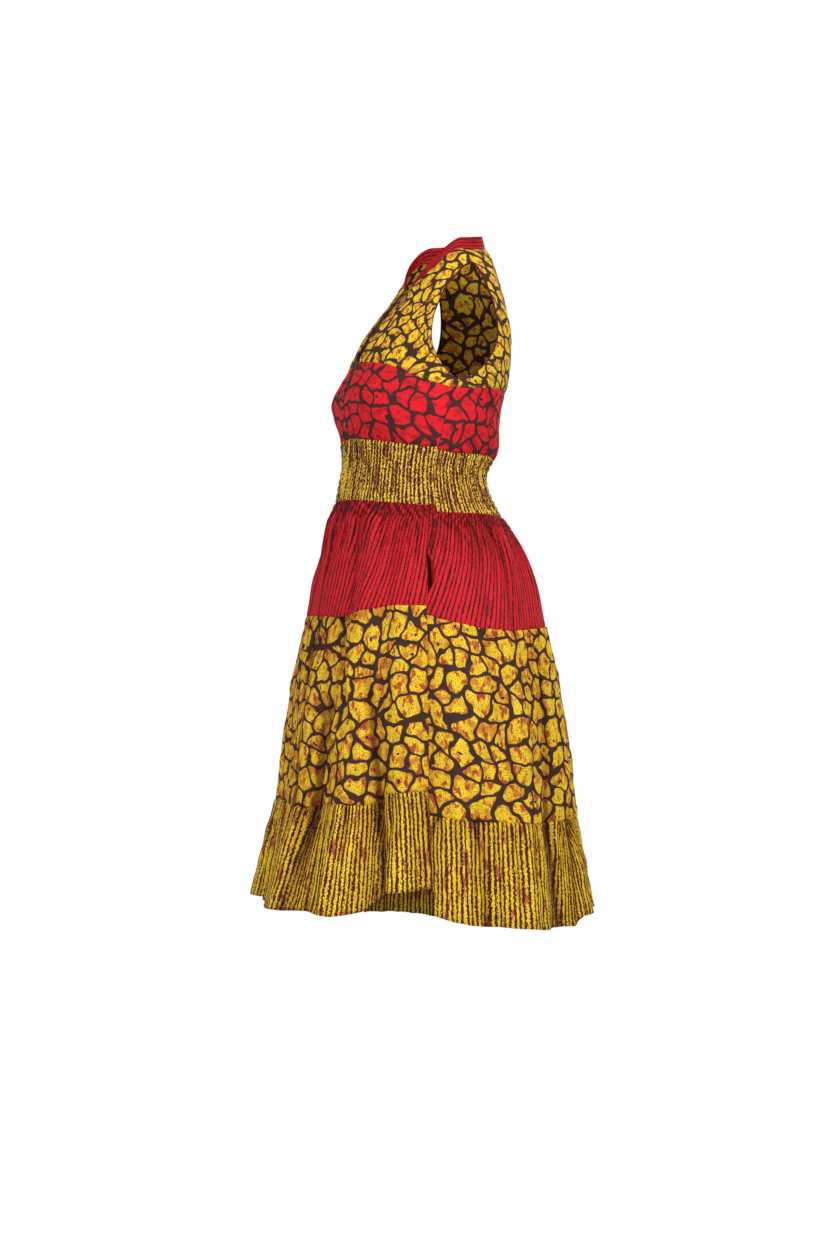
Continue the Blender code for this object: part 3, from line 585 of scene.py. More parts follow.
def pebble_cloth(name, bright, mottle, patch, blot, speck, shift, speck_share, wider, way):
    """Rounded cells of one colour with dark ways between them; one cell is about CELL mm of cloth."""
    made = Finish(name, 0.7)
    cell = made.cloth_mm(CELL, CELL, shift)
    broad = made.vector("ADD", cell, made.warp(105, 90, 0.8, shift))
    close = made.vector("ADD", made.warp(27, 25, 0.46, shift), made.warp(9, 9, 0.03))
    where = made.vector("ADD", broad, close)
    centre = made.voronoi(where, "F1")
    blended = made.voronoi(where, "SMOOTH_F1")
    blended.node.inputs["Smoothness"].default_value = CELL_SMOOTHNESS
    tint = made.add("SeparateColor", {}, {0: made.voronoi(where, "F1", output=1)})
    chance = tint.node.outputs[1]
    rounding = made.math("MULTIPLY", made.math("SUBTRACT", centre, blended), ROUNDING)
    rounding = made.math("MINIMUM", rounding, MOST_ROUNDING)
    inside = made.math("SUBTRACT", made.voronoi(where, "DISTANCE_TO_EDGE"), rounding)
    inside = made.math("SUBTRACT", inside, made.step(centre, 0.42, 0.72, 0.0, 0.02))
    width = made.step(made.grain(50, 50, 1.0), 0.3, 0.7, -GAP_CHANGE - wider, GAP_CHANGE - wider)
    inside = made.math("ADD", inside, width)
    # Cell colours
    speckle = made.grain(2.2, 2.4, 2.0, 0.65)
    mottled = made.grain(15, 21, 3.0, 0.6)
    blotted = made.grain(13, 24, 3.0, 0.6, (7.7, 3.9))
    colour = made.mix(made.step(speckle, 0.40, 0.60), bright, mottle)
    patchy = made.math("ADD", mottled, made.math("MULTIPLY", tint, 0.13))
    colour = made.mix(made.step(patchy, 0.57, 0.70, 0.0, 0.8), colour, patch)
    colour = made.mix(made.step(blotted, 0.57, 0.62, 0.0, 0.9), colour, blot)
    colour = made.mix(made.step(inside, GAP_EDGE + GAP_SHADE, GAP_EDGE, 0.0, 0.55), colour, patch)
    colour = made.mix(made.step(speckle, 0.55, 0.63, 0.0, speck_share), colour, speck)
    # Dark eyes in some cells
    eye_centre = made.math("ADD", centre, made.step(chance, NO_EYE, NO_EYE + 0.01, 1.0, 0.0))
    colour = made.mix(made.step(eye_centre, *EYE_EDGE, 1.0, 0.0), colour, PLUM)
    # The ways between
    gap_tone = made.mix(made.step(speckle, 0.35, 0.7), way, PLUM)
    for edge, tone in ((GAP_EDGE, PLUM), (GAP_EDGE - GAP_LINE, gap_tone)):
        colour = made.mix(made.step(inside, edge + GAP_SOFTNESS, edge), colour, tone)
    made.weave(colour)
    return made.material


def stripe_cloth(name, pitch, share, bright, mottle, patch, line, wave, uneven, ragged, patch_level):
    """Stripes down the cloth whose dark lines waver."""
    made = Finish(name, 0.7)
    waver = made.math("MULTIPLY", made.grain(14, 90), wave / pitch)
    across = made.add("SeparateXYZ", {}, {0: made.cloth_mm(pitch, pitch)})
    phase = made.math("FRACT", made.math("ADD", across, waver))
    from_line = made.math("MULTIPLY", made.math("ABSOLUTE", made.math("SUBTRACT", phase, 0.5)), 2.0)
    width = made.step(made.grain(7, 26), 0.25, 0.75, -uneven, uneven)
    edge = made.step(made.grain(3.4, 3.8, 1.0), 0.3, 0.7, -ragged, ragged)
    from_line = made.math("ADD", from_line, made.math("ADD", width, edge))
    speckle = made.grain(1.9, 2.8, 2.0, 0.65)
    broad = made.grain(20, 46, 3.0, 0.6)
    streak = made.grain(2.4, 60, 2.0, 0.6)
    colour = made.mix(made.step(speckle, 0.42, 0.62), bright, mottle)
    colour = made.mix(made.step(streak, 0.52, 0.68, 0.0, 0.5), colour, mottle)
    colour = made.mix(made.step(broad, patch_level, patch_level + 0.08, 0.0, 0.8), colour, patch)
    colour = made.mix(made.step(speckle, 0.58, 0.66, 0.0, 0.75), colour, line)
    line_tone = made.mix(made.step(speckle, 0.5, 0.8, 0.0, 0.3), line, patch)
    line_step = made.step(from_line, share - LINE_SOFTNESS, share + LINE_SOFTNESS)
    colour = made.mix(line_step, line_tone, colour)
    made.weave(colour)
    return made.material


PEBBLES = (
    # name, bright, mottle, patch, blot, speck, shift, share of specks, wider gaps, colour of the gaps
    ("yellow_pebble", YELLOW, GOLD, ORANGE, RUST, UMBER, (3.1, 7.4), 0.75, 0.0, BROWN),
    ("yoke_pebble", YELLOW, GOLD, ORANGE, RUST, UMBER, (5.3, 1.4), 0.75, 0.05, BROWN),
    ("red_pebble", RED, WARM_RED, DARKER_RED, DEEP_RED, DEEP_RED, (11.6, 2.3), 0.5, 0.012, RED_BROWN),
)
STRIPES = (
    # name, pitch in mm, share of the line, bright, mottle, patch, line,
    # wave in mm, unevenness, raggedness, level above which patches show
    ("yellow_stripe", 10.5, 0.48, YELLOW, GOLD, RUST, STRIPE_MAROON, 7.0, 0.14, 0.24, 0.58),
    ("waist_stripe", 10.5, 0.58, PALE_YELLOW, GOLD, MAROON, STRIPE_MAROON, 8.0, 0.16, 0.32, 0.56),
    ("red_stripe", 11.0, 0.34, RED, DARKER_RED, DEEP_RED, STRIPE_BLACK, 5.0, 0.10, 0.09, 0.60),
)
materials = {row[0]: pebble_cloth(*row) for row in PEBBLES}
materials.update((row[0], stripe_cloth(*row)) for row in STRIPES)


def metal(name, colour, roughness, painted_glint_share):
    """Metal with fine wear; lengths of it are dark, and the rest shows its colour as painted highlights, by
    a share.
    """
    made = Finish(name, roughness, metallic=1.0)
    where = made.add("TexCoord", {}, {}, output=3)
    solid = {"noise_dimensions": "3D"}
    wear, broad = (
        made.add("TexNoise", solid, {"Vector": where, "Scale": scale, "Detail": detail})
        for scale, detail in ((900.0, 3.0), (230.0, 1.0))
    )
    shade = made.mix(made.step(wear, 0.35, 0.7), colour, tuple(0.6 * c for c in colour))
    # Painted highlights: bright lengths standing in for glints along a dark chain
    shade = made.mix(made.step(broad, 0.44, 0.54, 0.0, painted_glint_share), METAL_DARK, shade)
    made.use("Base Color", shade)
    made.use("Roughness", made.step(wear, 0.3, 0.7, roughness - 0.08, roughness + 0.12))
    return made.material


def plain_cloth(name, colour, roughness=0.75):
    made = Finish(name, roughness, sheen=0.1)
    made.weave(made.mix(made.grain(0.9, 6), colour, tuple(0.55 * c for c in colour)))
    return made.material


# Last number: how strongly the bright lengths show as painted highlights
materials["zip_metal"] = metal("zip_metal", (0.66, 0.57, 0.43), 0.3, 1.0)
materials["zip_dark"] = metal("zip_dark", (0.10, 0.095, 0.09), 0.3, 0.35)
materials["zip_tape"] = plain_cloth("zip_tape", (0.018, 0.016, 0.018))
materials["binding"] = plain_cloth("binding", (0.11, 0.012, 0.016))
materials["thread_dark"] = plain_cloth("thread_dark", (0.10, 0.02, 0.02), 0.6)
materials["thread_gold"] = plain_cloth("thread_gold", (0.60, 0.36, 0.05), 0.6)


# Meshes


def new_mesh(name, points, faces, uvs, finish, depth=None, sharp=80, body="root"):
    """A mesh piece from points in mm, faces, and a cloth coordinate in mm for each point."""
    mesh = bpy.data.meshes.new(name)
    mesh.from_pydata((np.asarray(points) * MM).tolist(), [], faces)
    layer = mesh.uv_layers.new(name="UVMap")
    corners = np.empty(len(mesh.loops), np.int32)
    mesh.loops.foreach_get("vertex_index", corners)
    layer.data.foreach_set("uv", (np.asarray(uvs, float)[corners] * MM).astype(np.float32).ravel())
    # The depth attribute holds painted shade for each point, 0 where none is given
    shade = mesh.attributes.new("depth", "FLOAT", "POINT")
    if depth is not None:
        shade.data.foreach_set("value", np.clip(depth, 0, 1).astype(np.float32).ravel())
    mesh.materials.append(materials[finish])
    mesh.shade_smooth()
    mesh.set_sharp_from_angle(angle=math.radians(sharp))
    obj = bpy.data.objects.new(name, mesh)
    bpy.context.scene.collection.objects.link(obj)
    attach(obj, body)
    return obj


def face_outwards(obj):
    work = bmesh.new()
    work.from_mesh(obj.data)
    bmesh.ops.recalc_face_normals(work, faces=work.faces)
    work.to_mesh(obj.data)
    work.free()


def grid_faces(rows, cols, start=0, flip=False, closed=False):
    """Faces of a grid of points; columns go round leftwards and rows go down."""
    r, c = np.meshgrid(np.arange(rows - 1), np.arange(cols if closed else cols - 1), indexing="ij")
    n = (c + 1) % cols
    quads = np.stack([r * cols + c, (r + 1) * cols + c, (r + 1) * cols + n, r * cols + n], axis=-1)
    quads = quads.reshape(-1, 4) + start
    return (quads[:, ::-1] if flip else quads).tolist()


def shell(name, outer, uv, finish, wall=CLOTH_WALL, depth=None):
    """A thin closed sheet on a grid of outside points; its wall is one size or a size for each point."""
    rows, cols = outer.shape[:2]
    down = np.gradient(outer, axis=0)
    along = np.gradient(outer, axis=1)
    normal = unit(np.cross(down, along))
    inner = outer - np.broadcast_to(wall, (rows, cols))[..., None] * normal
    count = rows * cols
    faces = grid_faces(rows, cols) + grid_faces(rows, cols, count, flip=True)
    index = np.arange(count).reshape(rows, cols)
    rim = np.concatenate([index[0], index[1:, -1], index[-1, -2::-1], index[-2:0:-1, 0]])
    nxt = np.roll(rim, -1)
    faces += np.stack([rim, nxt, nxt + count, rim + count], axis=-1).tolist()
    points = np.concatenate([outer.reshape(-1, 3), inner.reshape(-1, 3)])
    uvs = np.tile(uv.reshape(-1, 2), (2, 1))
    # Painted shade for each point, the same on the sheet's inner side
    if depth is not None:
        depth = np.tile(np.broadcast_to(depth, (rows, cols)).ravel(), 2)
    return new_mesh(name, points, faces, uvs, finish, depth)


SWEEP_SHADE = 0.35


def sweep(name, centre, side, normal, section, uv, finish, closed=False, shade=SWEEP_SHADE):
    """A solid that carries a closed section along a path; the section is in mm along side and normal."""
    points = centre[:, None] + section[..., :1] * side[:, None] + section[..., 1:] * normal[:, None]
    rows, cols = points.shape[:2]
    faces = grid_faces(rows, cols, closed=True)
    if closed:
        k = np.arange(cols)
        n = (k + 1) % cols
        last = (rows - 1) * cols
        faces += np.stack([last + k, k, n, last + n], axis=-1).tolist()
    else:
        faces += [list(range(cols)), list(range((rows - 1) * cols, rows * cols))]
    # Painted shade for the depth attribute, one value or one for each point
    depth = np.broadcast_to(shade, (rows, cols))
    obj = new_mesh(name, points.reshape(-1, 3), faces, uv.reshape(-1, 2), finish, depth, sharp=60)
    face_outwards(obj)
    return obj


def path_lengths(points):
    return np.concatenate([[0], np.cumsum(np.linalg.norm(np.diff(points, axis=0), axis=1))])


def along_path(points, where):
    """Points at lengths along a path."""
    along = path_lengths(points)
    return np.stack([np.interp(where, along, points[:, k]) for k in range(3)], axis=-1)


# One stitch: places along it with how far out its middle lies, in mm
STITCH_PITCH = 3.3
STITCH_LENGTH = 2.3
STITCH_RADIUS = 0.3
STITCH_SHAPE = ((0.0, -0.3, 0.0), (0.22, 0.14, 1.0), (0.78, 0.14, 1.0), (1.0, -0.3, 0.0))


def stitches(name, lines, finish):
    """Rows of stitches on paths of points and normals."""
    points = []
    for path, normal in lines:
        starts = np.arange(1.0, path_lengths(path)[-1] - STITCH_LENGTH, STITCH_PITCH)
        shifted = path + normal
        rings = []
        for share, rise, size in STITCH_SHAPE:
            here = along_path(path, starts + share * STITCH_LENGTH)
            out = unit(along_path(shifted, starts + share * STITCH_LENGTH) - here)
            ahead = unit(along_path(path, starts + STITCH_LENGTH) - along_path(path, starts))
            side = unit(np.cross(ahead, out))
            turns = (side, out, -side, -out) if size else (out,)
            reach = STITCH_RADIUS * size
            rings += [here + rise * out + reach * way for way in turns]
        points.append(np.stack(rings, axis=1).reshape(-1, 3))
    points = np.concatenate(points)
    faces = []
    sides = 4
    each = 2 * sides + 2
    for start in range(0, len(points), each):
        near = [start + 1 + k for k in range(sides)]
        far = [start + 1 + sides + k for k in range(sides)]
        for k in range(sides):
            n = (k + 1) % sides
            faces += [
                (start, near[n], near[k]),
                (near[k], near[n], far[n], far[k]),
                (far[k], far[n], start + each - 1),
            ]
    return new_mesh(name, points, faces, points[:, [0, 2]], finish)


def lengths(points, axis):
    """Lengths along the rows or columns of a grid of points, from its first row or column."""
    steps = np.linalg.norm(np.diff(points, axis=axis), axis=-1)
    pad = [(0, 0), (0, 0)]
    pad[axis] = (1, 0)
    return np.pad(np.cumsum(steps, axis=axis), pad)


TUCK_LENGTH = 1.5
TUCK_DEPTH = 3.5
# Each edge: rows and columns that a tuck adds there, then the grid's first, second and third lines in
EDGES = {
    "top": (((1, 0), (0, 0)), np.s_[0, :], np.s_[1, :], np.s_[2, :]),
    "foot": (((0, 1), (0, 0)), np.s_[-1, :], np.s_[-2, :], np.s_[-3, :]),
    "first": (((0, 0), (1, 0)), np.s_[:, 0], np.s_[:, 1], np.s_[:, 2]),
    "last": (((0, 0), (0, 1)), np.s_[:, -1], np.s_[:, -2], np.s_[:, -3]),
}


def inset(points):
    """Draws the edges of a grid of points in by half of the seams' gap."""
    moved = points.copy()
    for _, edge, inner, _ in EDGES.values():
        moved[edge] += SEAM_INSET * unit(points[inner] - points[edge])
    return moved


def tucked(points, normal, values, edges):
    """Turns the named edges in behind the next piece, as a seam allowance lies."""
    for edge in edges:
        widths, added, old, inner = EDGES[edge]
        points, normal = (np.pad(grid, (*widths, (0, 0)), mode="edge") for grid in (points, normal))
        values = [np.pad(value, (*widths, (0, 0)), mode="reflect", reflect_type="odd") for value in values]
        points[added] += TUCK_LENGTH * unit(points[old] - points[inner]) - TUCK_DEPTH * normal[added]
    return points, values


# How much painted shade a mm of a crease or fold gets, and the depth from which that painted shade grows no
# darker
CREASE_SHADE = 0.12
CREASE_LIMIT = 6
FOLD_SHADE = 0.025
FOLD_LIMIT = 17
# How far gathers are calmed beside the side seams
SIDE_CALM = 0.6
SIDE_REACH = 14


class Panel:
    """A panel of the surface on a fine grid, with its cloth lengths in mm."""

    def __init__(self, station, angle, gathered=True):
        self.station = station
        self.angle = angle
        self.base = surface(station, angle)
        self.normal = surface_normal(station, angle)
        self.down = lengths(self.base, 0)
        self.up = self.down[-1:] - self.down
        self.across = lengths(self.base, 1)
        self.width = self.across[:, -1:]
        self.left = self.width - self.across
        if gathered:
            widest = int(np.argmax(self.width))
            self.across_cloth = np.repeat(self.across[widest : widest + 1], len(station), axis=0)
        else:
            self.across_cloth = self.across - self.width / 2

    def dips(self, edges):
        """How far the seams on the named edges draw the cloth in."""
        total = 0.0
        for edge in edges:
            distance = {"top": self.down, "foot": self.up, "first": self.across, "last": self.left}[edge]
            total = total - SEAM_DIP * np.exp(-((distance / SEAM_REACH) ** 2))
        return total

    def calmed(self, out):
        """Flattens gathers beside the side seams."""
        near = [1 - SIDE_CALM * fade(distance, SIDE_REACH) for distance in (self.across, self.left)]
        return out * near[0] * near[1]

    def lean(self, rows):
        """Carries the cloth's lines from angles at the top to angles at the foot, by a table of both."""
        top = np.array([row[0] for row in rows], float)
        foot = np.array([row[1] for row in rows], float)
        foot_across = self.across_cloth[-1]
        share = self.down / self.down[-1:]
        eased = np.clip(share, 0, 1) ** 0.85
        dense = np.linspace(foot[0], foot[-1], 500)
        dense_top = np.interp(dense, foot, top)
        dense_across = beyond_ends(dense, self.angle[-1], foot_across)
        found = np.empty_like(self.angle)
        for row in range(len(self.angle)):
            middle = float(np.mean(eased[row]))
            line = dense_top * (1 - middle) + dense * middle
            found[row] = np.interp(self.angle[row], line, dense_across)
        self.across_cloth = found

    def finish(
        self, name, out, finish, slot, scale, shift, turn=0.0, depth=0.0, wall=CLOTH_WALL, tucks=()
    ):
        """Makes the piece; the print is turned by degrees, then scaled and shifted."""
        creased = creases(self.station, self.angle)
        out = np.maximum(out + creased, pocket_limit(self.station, self.angle))
        self.points = inset(self.base + out[..., None] * self.normal)
        angle = math.radians(turn)
        u, v = self.across_cloth, self.down
        turned_u = u * math.cos(angle) + v * math.sin(angle)
        turned_v = v * math.cos(angle) - u * math.sin(angle)
        uv = np.stack([turned_u * scale[0] + shift[0], turned_v * scale[1] + shift[1]], axis=-1)
        # Painted shade: darker in the broad folds' valleys and in the creases, on top of the panel's own
        # painted shade
        valley = np.clip(-fold_out(self.station, self.angle), 0, FOLD_LIMIT)
        depth = depth + CREASE_SHADE * np.clip(-creased, 0, CREASE_LIMIT) + FOLD_SHADE * valley
        flat = [np.broadcast_to(value, self.angle.shape)[..., None] for value in (wall, depth)]
        points, (uv, wall, depth) = tucked(self.points, self.normal, [uv, *flat], tucks)
        self.obj = shell(name + "_cloth", points, uv, finish, wall[..., 0], depth[..., 0])
        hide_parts(name)
        return self


def beyond_ends(where, places, values):
    """Interpolates in a table and goes on straight past its ends."""
    found = np.interp(where, places, values)
    first = (values[1] - values[0]) / (places[1] - places[0])
    last = (values[-1] - values[-2]) / (places[-1] - places[-2])
    return found + first * np.minimum(where - places[0], 0) + last * np.maximum(where - places[-1], 0)


# Rounds in which a grid settles between its seams, and the degrees over which a mouth spreads it
SETTLE_ROUNDS = 6
MOUTH_REACH = 20


def band_grid(top, foot, back, across_mm, down_mm):
    """Stations and angles of a fine grid over a band of the dress, on its front or its back."""
    side = 1 if back else 0
    first, last = (LEFT_COLUMN, RIGHT_COLUMN + 360) if back else (RIGHT_COLUMN, LEFT_COLUMN)
    middle = (top[side][0][1] + foot[side][0][1]) / 2
    dense = np.linspace(first, last, 400)
    steps = np.linalg.norm(np.diff(surface(middle, drawn(dense, middle)), axis=0), axis=1)
    along = np.concatenate([[0], np.cumsum(steps)])
    columns = np.interp(np.linspace(0, along[-1], round(along[-1] / across_mm) + 1), along, dense)
    deep = abs(section_at(foot[side][0][1])[SIDE_Z] - section_at(top[side][0][1])[SIDE_Z])
    rows = max(4, round(deep / down_mm))
    down = np.linspace(0, 1, rows + 1)[:, None]
    station = np.full((rows + 1, len(columns)), middle)
    for _ in range(SETTLE_ROUNDS):
        angle = drawn(columns[None, :], station)
        high = read_row(top[side], angle)
        low = read_row(foot[side], angle)
        station = high + (low - high) * down
    angle = drawn(columns[None, :], station)
    if back:
        from_left = np.clip(1 - (columns - LEFT_COLUMN) / MOUTH_REACH, 0, 1)
        from_right = np.clip(1 - (RIGHT_COLUMN + 360 - columns) / MOUTH_REACH, 0, 1)
        angle = angle + to_degrees(mouth_opening(station, POCKET_MOUTH), station) * from_left
        angle = angle - to_degrees(mouth_opening(station, RIGHT_POCKET_MOUTH), station) * from_right
    return station, angle


# Where the cloth's lines run to, on the front and on the back: angles at a tier's top and at its foot
UPPER_LEAN = (
    ((-96, -96), (-60, -63), (-30, -33), (0, -2), (20, 12), (45, 26), (62, 44), (78, 67)),
    ((64, 43), (79, 57), (92, 71), (108, 90), (128, 118), (150, 150), (180, 180), (215, 220), (270, 270)),
)
FLOUNCE_LEAN = (
    ((-96, -96), (-56, -58), (-40, -44), (0, 3), (17, 13), (30, 30), (47, 50), (66, 70)),
    ((64, 66), (86, 86), (110, 109), (124, 119), (129, 130), (136, 150), (150, 166), (188, 190), (270, 270)),
)

# How far the hem is turned up
HEM_TURN = 9.0

# Shirring: mm between rows of elastic, and between the gathers at the waist
WAIST_ELASTIC = 11.5
TIER_ELASTIC = 12.5
WAIST_GATHER = 7.8

ALL_EDGES = ("top", "foot", "first", "last")
SEWN_EDGES = ("top", "first", "last")


def waist(name, back, seed):
    """The shirred waist: fine gathers pinched by rows of elastic thread."""
    panel = Panel(*band_grid(WAIST_TOP_LINE, WAIST_FOOT_LINE, back, 1.6, 2.2))
    u, v = panel.across_cloth, panel.down
    ridges = gathers(seed, u, v, WAIST_GATHER, 0.7)
    rows = np.abs(np.sin(np.pi * v / WAIST_ELASTIC)) ** 0.7
    out = (0.45 + 0.55 * rows) * (3.0 * ridges - 1.5) + 1.2 * rows - 0.8
    out = out * np.clip(panel.down / 4, 0.4, 1) * np.clip(panel.up / 4, 0.4, 1)
    out += 1.0 * waves(seed + 5, 30, u, v)
    out += panel.dips(ALL_EDGES)
    # Painted shade in the gathers' valleys and between the rows of elastic
    depth = 0.45 * (1 - ridges) ** 1.5 + 0.35 * (1 - rows) ** 2
    return panel.finish(
        name, out, "waist_stripe", "yellow_stripe", (1.5, 1.0), (37 * seed, 600),
        depth=depth, tucks=ALL_EDGES,
    )


def upper_tier(name, back, seed):
    """The upper tier: two more rows of elastic, then gathers that fall out into the skirt."""
    panel = Panel(*band_grid(WAIST_FOOT_LINE, UPPER_FOOT_LINE, back, 2.0, 2.8))
    panel.lean(UPPER_LEAN[back])
    u, v = panel.across_cloth, panel.down
    fine = gathers(seed, u, v, 10, 0.7)
    broad = gathers(seed + 2, u, v, 29, 0.9)
    rows = np.abs(np.sin(np.pi * v / TIER_ELASTIC)) ** 0.7
    shirred = fade(v - 16, 18)
    falling = (1 - shirred) * fade(v - 26, 110)
    hanging = (1 - shirred) * fade(v - 40, 170)
    out = shirred * (0.4 + 0.6 * rows) * (3.0 * fine - 1.4)
    out += falling * (3.2 * fine - 1.6) + hanging * (5.2 * broad - 2.8)
    out += 1.2 * waves(seed + 5, 45, u, v) * np.clip(v / 60, 0, 1)
    out = out * np.clip(panel.down / 4, 0.4, 1)
    out = panel.calmed(out)
    out += panel.dips(("top", "foot"))
    # Painted shade: patchy over the shirred top, and in the valleys of the falling and the broad gathers
    shade_blotches = np.clip(0.55 + 0.8 * waves(seed + 8, 4.2, u, 0.7 * v), 0, 1)
    depth = shirred * (0.3 + 1.1 * shade_blotches) + falling * (1 - fine) * (0.7 + 0.8 * shade_blotches)
    depth += hanging * 0.4 * (1 - broad)
    return panel.finish(
        name, out, "red_stripe", "red_stripe", (1.33, 1.0), (53 * seed, 0), depth=depth, tucks=ALL_EDGES
    )


def middle_tier(name, back, seed):
    """The middle tier: plain cloth in broad soft folds."""
    panel = Panel(*band_grid(UPPER_FOOT_LINE, MIDDLE_FOOT_LINE, back, 3.2, 3.8))
    u, v = panel.across_cloth, panel.down
    broad = gathers(seed + 2, u, v, 36, 1.0)
    fine = gathers(seed, u, v, 12, 0.8)
    out = 3.2 * (broad - 0.6) * (0.6 + 0.4 * waves(seed + 9, 80, u, v))
    out += fade(v - 4, 26) * (1.6 * fine - 0.8)
    out += 1.1 * waves(seed + 5, 30, u, v) + 0.4 * waves(seed + 6, 9, u, v)
    out = panel.calmed(out)
    out += panel.dips(ALL_EDGES)
    # Painted shade in the valleys, and a patchy painted shade over the front where less light falls
    depth = 0.3 * (1 - broad) + fade(v - 4, 26) * 0.4 * (1 - fine)
    front_painted_shade = np.exp(-(((panel.angle - 2) / 26) ** 2))
    depth += front_painted_shade * np.clip(0.25 + 0.35 * waves(seed + 8, 18, 1.6 * u, v), 0, 0.6)
    return panel.finish(
        name, out, "yellow_pebble", "yellow_pebble", (1.12, 1.24), (71 * seed, 0),
        depth=depth, tucks=ALL_EDGES,
    )


def flounce(name, back, seed):
    """The flounce: lightly gathered into its seam, with ripples at the hem."""
    panel = Panel(*band_grid(MIDDLE_FOOT_LINE, HEM_LINE, back, 2.6, 3.2))
    panel.lean(FLOUNCE_LEAN[back])
    u, v = panel.across_cloth, panel.down
    fine = gathers(seed, u, v, 13, 0.8)
    broad = gathers(seed + 2, u, v, 42, 1.0)
    out = fade(v - 6, 110) * (3.0 * fine - 1.5)
    out += np.clip(v / 60, 0, 1) * (4.4 * broad - 2.6)
    out += 0.8 * waves(seed + 5, 25, u, v)
    out = panel.calmed(out)
    out += panel.dips(SEWN_EDGES)
    turned = fade(panel.up - HEM_TURN, 2.5)
    out += 0.35 * turned
    # Painted shade in the gathers' and folds' valleys; darker along the hem's edge, with dark marks near it
    depth = fade(v - 6, 110) * 0.65 * (1 - fine) + 0.35 * (1 - broad) + 0.4 * fade(panel.up - 1.5, 4)
    wall = CLOTH_WALL + 0.8 * turned
    marks = fade(panel.up - 5, 26) * np.clip(1.2 * waves(seed + 8, 4, u, 1.5 * v) - 0.5, 0, 1)
    depth += 0.8 * marks
    return panel.finish(
        name, out, "yellow_stripe", "yellow_stripe", (1.3, 1.0), (29 * seed, 0),
        depth=depth, wall=wall, tucks=SEWN_EDGES,
    )


TIERS = (
    # maker, piece, seed
    (waist, "waist", 3),
    (upper_tier, "skirt_upper", 11),
    (middle_tier, "skirt_middle", 19),
    (flounce, "flounce", 31),
)
BACK_SEED = 40

panels = {}
for maker, name, seed in TIERS:
    panels[name + "_front"] = maker(name + "_front", False, seed)
    panels[name + "_back"] = maker(name + "_back", True, seed + BACK_SEED)


def smooth_rows(values, rows, level_start=False):
    """Values at fractional rows of a list, on a smooth curve through it that may start level."""
    values = np.asarray(values, float)
    start = values[1] if level_start else 2 * values[0] - values[1]
    padded = np.concatenate([[start], values, [2 * values[-1] - values[-2]]])
    low = np.clip(np.floor(rows).astype(int), 0, len(values) - 2)
    return through(*(padded[low + k] for k in range(4)), rows - low)


def armhole_rows(behind, rows):
    """Stations and angles of a yoke's outer edge, straight at the shoulder, smooth down the armhole."""
    column = 2 if behind else 1
    station = [SHOULDER_POINT[0]] + [row[0] for row in ARMHOLE] + [UNDERARM]
    angle = [SHOULDER_POINT[1]] + [row[column] for row in ARMHOLE] + [90]
    return smooth_rows(station, rows, level_start=True), smooth_rows(angle, rows)


# Steps down a yoke's grid: beside the neck, and beside the armhole
NECK_STEPS = len(FRONT_NECK_ANGLES)
ARMHOLE_STEPS = len(ARMHOLE) + 1

# Bust band and yokes: lengths and heights in mm, by which their grids are spaced
BUST_LENGTHS = {1: 235, -1: 260}
BUST_HEIGHT = 105
BUST_MIDDLE = 6.5
FRONT_YOKE_HEIGHT = 230
BACK_YOKE_HEIGHT = 235


def bust_half(side, across_mm, down_mm):
    """Stations and angles of half of the front bust band, from the zip to the side seam."""
    ends = (0, LEFT_COLUMN) if side > 0 else (RIGHT_COLUMN, 0)
    columns = np.linspace(*ends, round(BUST_LENGTHS[side] / across_mm))
    rows = round(BUST_HEIGHT / down_mm)
    down = np.linspace(0, 1, rows + 1)[:, None]
    station = np.full((rows + 1, len(columns)), BUST_MIDDLE)
    for _ in range(SETTLE_ROUNDS):
        angle = drawn(columns[None, :], station)
        high = read_row(YOKE_LINE[0], angle)
        low = read_row(WAIST_TOP_LINE[0], angle)
        station = high + (low - high) * down
    inner = side * edge_angle(station[:, 0 if side > 0 else -1])[:, None]
    outer = angle[:, -1:] if side > 0 else angle[:, :1]
    share = (angle - outer) / ((angle[:, :1] if side > 0 else angle[:, -1:]) - outer)
    angle = outer + (inner - outer) * share
    high = read_row(YOKE_LINE[0], angle)
    low = read_row(WAIST_TOP_LINE[0], angle)
    return high + (low - high) * down, angle


def bust(name, grid, edges, seed):
    """A panel of the bust band, with small gathers where the shirred waist draws it in."""
    panel = Panel(*grid, gathered=False)
    u, v = panel.across_cloth, panel.down
    drawn_in = fade(panel.up, 34)
    fine = gathers(seed + 2, u, v, 14, 0.8)
    out = 0.9 * waves(seed, 40, u, v) + 0.35 * waves(seed + 1, 12, u, v)
    out += drawn_in * (2.4 * fine - 1.3) + panel.dips(edges)
    # Painted shade in the valleys of the gathers
    depth = 0.5 * drawn_in * (1 - fine)
    return panel.finish(
        name, out, "red_pebble", "red_pebble", (1.45, 1.2), (57 * seed, 0), 12 * seed, depth, tucks=edges
    )


